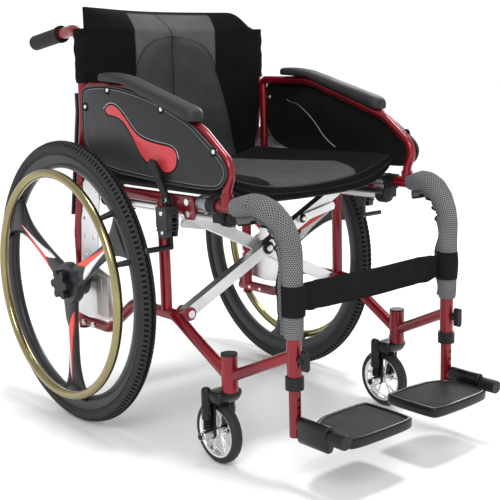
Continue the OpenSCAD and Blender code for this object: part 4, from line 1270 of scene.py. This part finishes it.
def back_sheet():
    """Padded back: lobes, seams and a grey mesh middle, black at its sides, in one closed form."""
    cols, rows = 96, 84
    front, rear = [], []
    for i in range(rows + 1):
        row_f, row_r = [], []
        for j in range(cols + 1):
            x = BACK_HALF * (2 * j / cols - 1)
            z = BACK_LOW + (back_top(x) - BACK_LOW) * i / rows
            base = back_front(x, z)
            edge = min(BACK_HALF - abs(x), back_top(x) - z, z - BACK_LOW + 14)
            round_off = (8 if abs(x) < 224 else 3) * (1 - clamp(edge / 14)) ** 2
            inside = lobe_half(x, z) - abs(x)
            lobe = 10 * smooth_step(inside, 0, 26) * smooth_step(abs(x), 0, 30)
            lobe *= smooth_step(CROSSING_Z - z, -1, 22)
            seams = 3.5 * near_line(x, 3.5) * (1 if z < CROSSING_Z else 0)
            if z <= CROSSING_Z + 2:
                seams = max(seams, 3.5 * near_line(inside, 4.0))
            else:
                seams = max(seams, 3.0 * near_line(past_middle(x, 0, z), 3.0))
            in_front = 999
            seams = max(seams, 2.4 * near_line(in_back_mesh(x, in_front, z), 3.5))
            creases = 1.6 * math.sin(x * 0.035 + z * 0.05) * math.sin(z * 0.021 - x * 0.012)
            lobe += 5 * smooth_step(z - CROSSING_Z, 0, 16) * smooth_step(BACK_HALF - abs(x), 0, 30)
            lobe += creases * smooth_step(edge, 5, 40)
            thick = 20 - 17 * smooth_step(abs(x), 205, 226)
            fwd = base + lobe - seams - round_off
            row_f.append(at(x, fwd, z))
            row_r.append(at(x, min(base - thick, fwd - 1.5), z - 1.5 * (1 - clamp(edge / 14))))
        front.append(row_f)
        rear.append(row_r)
    verts, faces, _ = quilt(front, rear)
    uvs = [[(verts[k].x, verts[k].z) for k in face] for face in faces]
    back = make("back_cover", [(verts, faces, uvs)], None, "back_fabric", 75)
    mark_zones(back, grey=in_back_mesh, lobe=in_lobe, middle=past_middle)
    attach(back, "right_frame")
    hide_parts("back_upholstery")
    fold_with_frame(back)


def post_sleeves(label, side):
    """Black fabric sleeve round the back post, with creases, which the back is sewn to."""
    low, high = 727, 840
    rings = []
    for i in range(25):
        z = low + (high - low) * i / 24
        ring = []
        for a in turns(28):
            r = 15.6 + 0.7 * math.sin(3 * a + z * 0.13) + 0.6 * math.sin(z * 0.21 + a)
            ring.append(at(side * RAIL_X + r * math.cos(a), POST_FWD + r * math.sin(a), z))
        rings.append(ring)
    obj = make(f"{label}_post_sleeve", [loft(rings)], f"{label}_frame", "back_fabric", 75)
    mark_zones(obj, grey=never, lobe=never, middle=never)


# ---------------------------------------------------------------- stage, camera, lights


def floor():
    """Plain pale floor, a hair below the wheels."""
    bpy.ops.mesh.primitive_plane_add(size=60, location=(0, 0, -0.0005))
    plane = bpy.context.object
    plane.name = "studio_floor"
    s = Shader("studio_floor", (0.93, 0.93, 0.93), 0.7, Specular_IOR_Level=0.2)
    cloud = s.ramp(s.noise(1.2, 5.0), (0.35, 0.0), (0.7, 1.0))
    s.put("Base Color", s.mix(cloud, (0.925, 0.925, 0.93), (0.945, 0.945, 0.945)))
    plane.data.materials.append(s.material)


def light(name, kind, power, direction, place=(0, 0, 0)):
    """A lamp at place that shines along direction; gives its settings back."""
    data = bpy.data.lights.new(name, kind)
    data.energy = power
    obj = bpy.data.objects.new(name, data)
    bpy.context.scene.collection.objects.link(obj)
    obj.location = place
    obj.rotation_euler = Vector(direction).to_track_quat("-Z", "Y").to_euler()
    return data


def area_light(name, place, aim, size, power):
    """Rectangular soft light."""
    data = light(name, "AREA", power, Vector(aim) - Vector(place), place)
    data.shape = "RECTANGLE"
    data.size, data.size_y = size


def studio():
    """White surroundings, brightest at the horizon, two soft lights, and an overhead one for the shadows."""
    world = bpy.data.worlds.new("studio")
    world.use_nodes = True
    tree = world.node_tree
    split = tree.nodes.new("ShaderNodeSeparateXYZ")
    tree.links.new(tree.nodes.new("ShaderNodeTexCoord").outputs["Generated"], split.inputs[0])
    fade = tree.nodes.new("ShaderNodeMapRange")
    tree.links.new(split.outputs[2], fade.inputs["Value"])
    for key, value in (("From Min", 0.1), ("From Max", 0.3), ("To Min", 1.15), ("To Max", 0.72)):
        fade.inputs[key].default_value = value
    tree.links.new(fade.outputs["Result"], tree.nodes["Background"].inputs[1])
    tree.nodes["Background"].inputs[0].default_value = (1, 1, 1, 1)
    bpy.context.scene.world = world
    area_light("key", (-2.4, -2.2, 2.6), (0, 0, 0.4), (1.4, 1.4), 55)
    area_light("rim", (2.6, 1.2, 1.8), (0, 0, 0.5), (1.0, 1.6), 35)
    light("overhead", "SUN", 1.25, (-0.06, 0.10, -1.0)).angle = math.radians(9)
    bpy.context.scene.view_settings.view_transform = "Standard"


def camera():
    """Camera ahead of the chair's right side, rolled a little."""
    data = bpy.data.cameras.new("camera")
    data.sensor_width = 36.0
    data.lens = 71.3
    obj = bpy.data.objects.new("camera", data)
    bpy.context.scene.collection.objects.link(obj)
    place, target = Vector((-1.3561, -1.6316, 0.7586)), Vector((0.0311, 0.0115, 0.3543))
    roll = Matrix.Rotation(math.radians(-1.42), 3, "Z")
    turn = (target - place).to_track_quat("-Z", "Y").to_matrix() @ roll
    obj.matrix_world = Matrix.Translation(place) @ turn.to_4x4()
    bpy.context.scene.camera = obj


finish_cad_nodes()
for label, side in SIDES.items():
    tyre(label, side)
    wheel(label, side)
    hand_rim(label, side)
    caster_fork(label, side)
    caster(label, side)
    caster_coils(label, side)
    brake(label, side)
    rail_parts(label, side, "left" if side < 0 else "right")
    footplate(label, side)
    arm_pad(label, side)
    side_panel(label, side)
    leg_sleeve(label, side)
    post_sleeves(label, side)
cross_hardware()
calf_strap()
seat_cushion()
back_sheet()
floor()
studio()
camera()
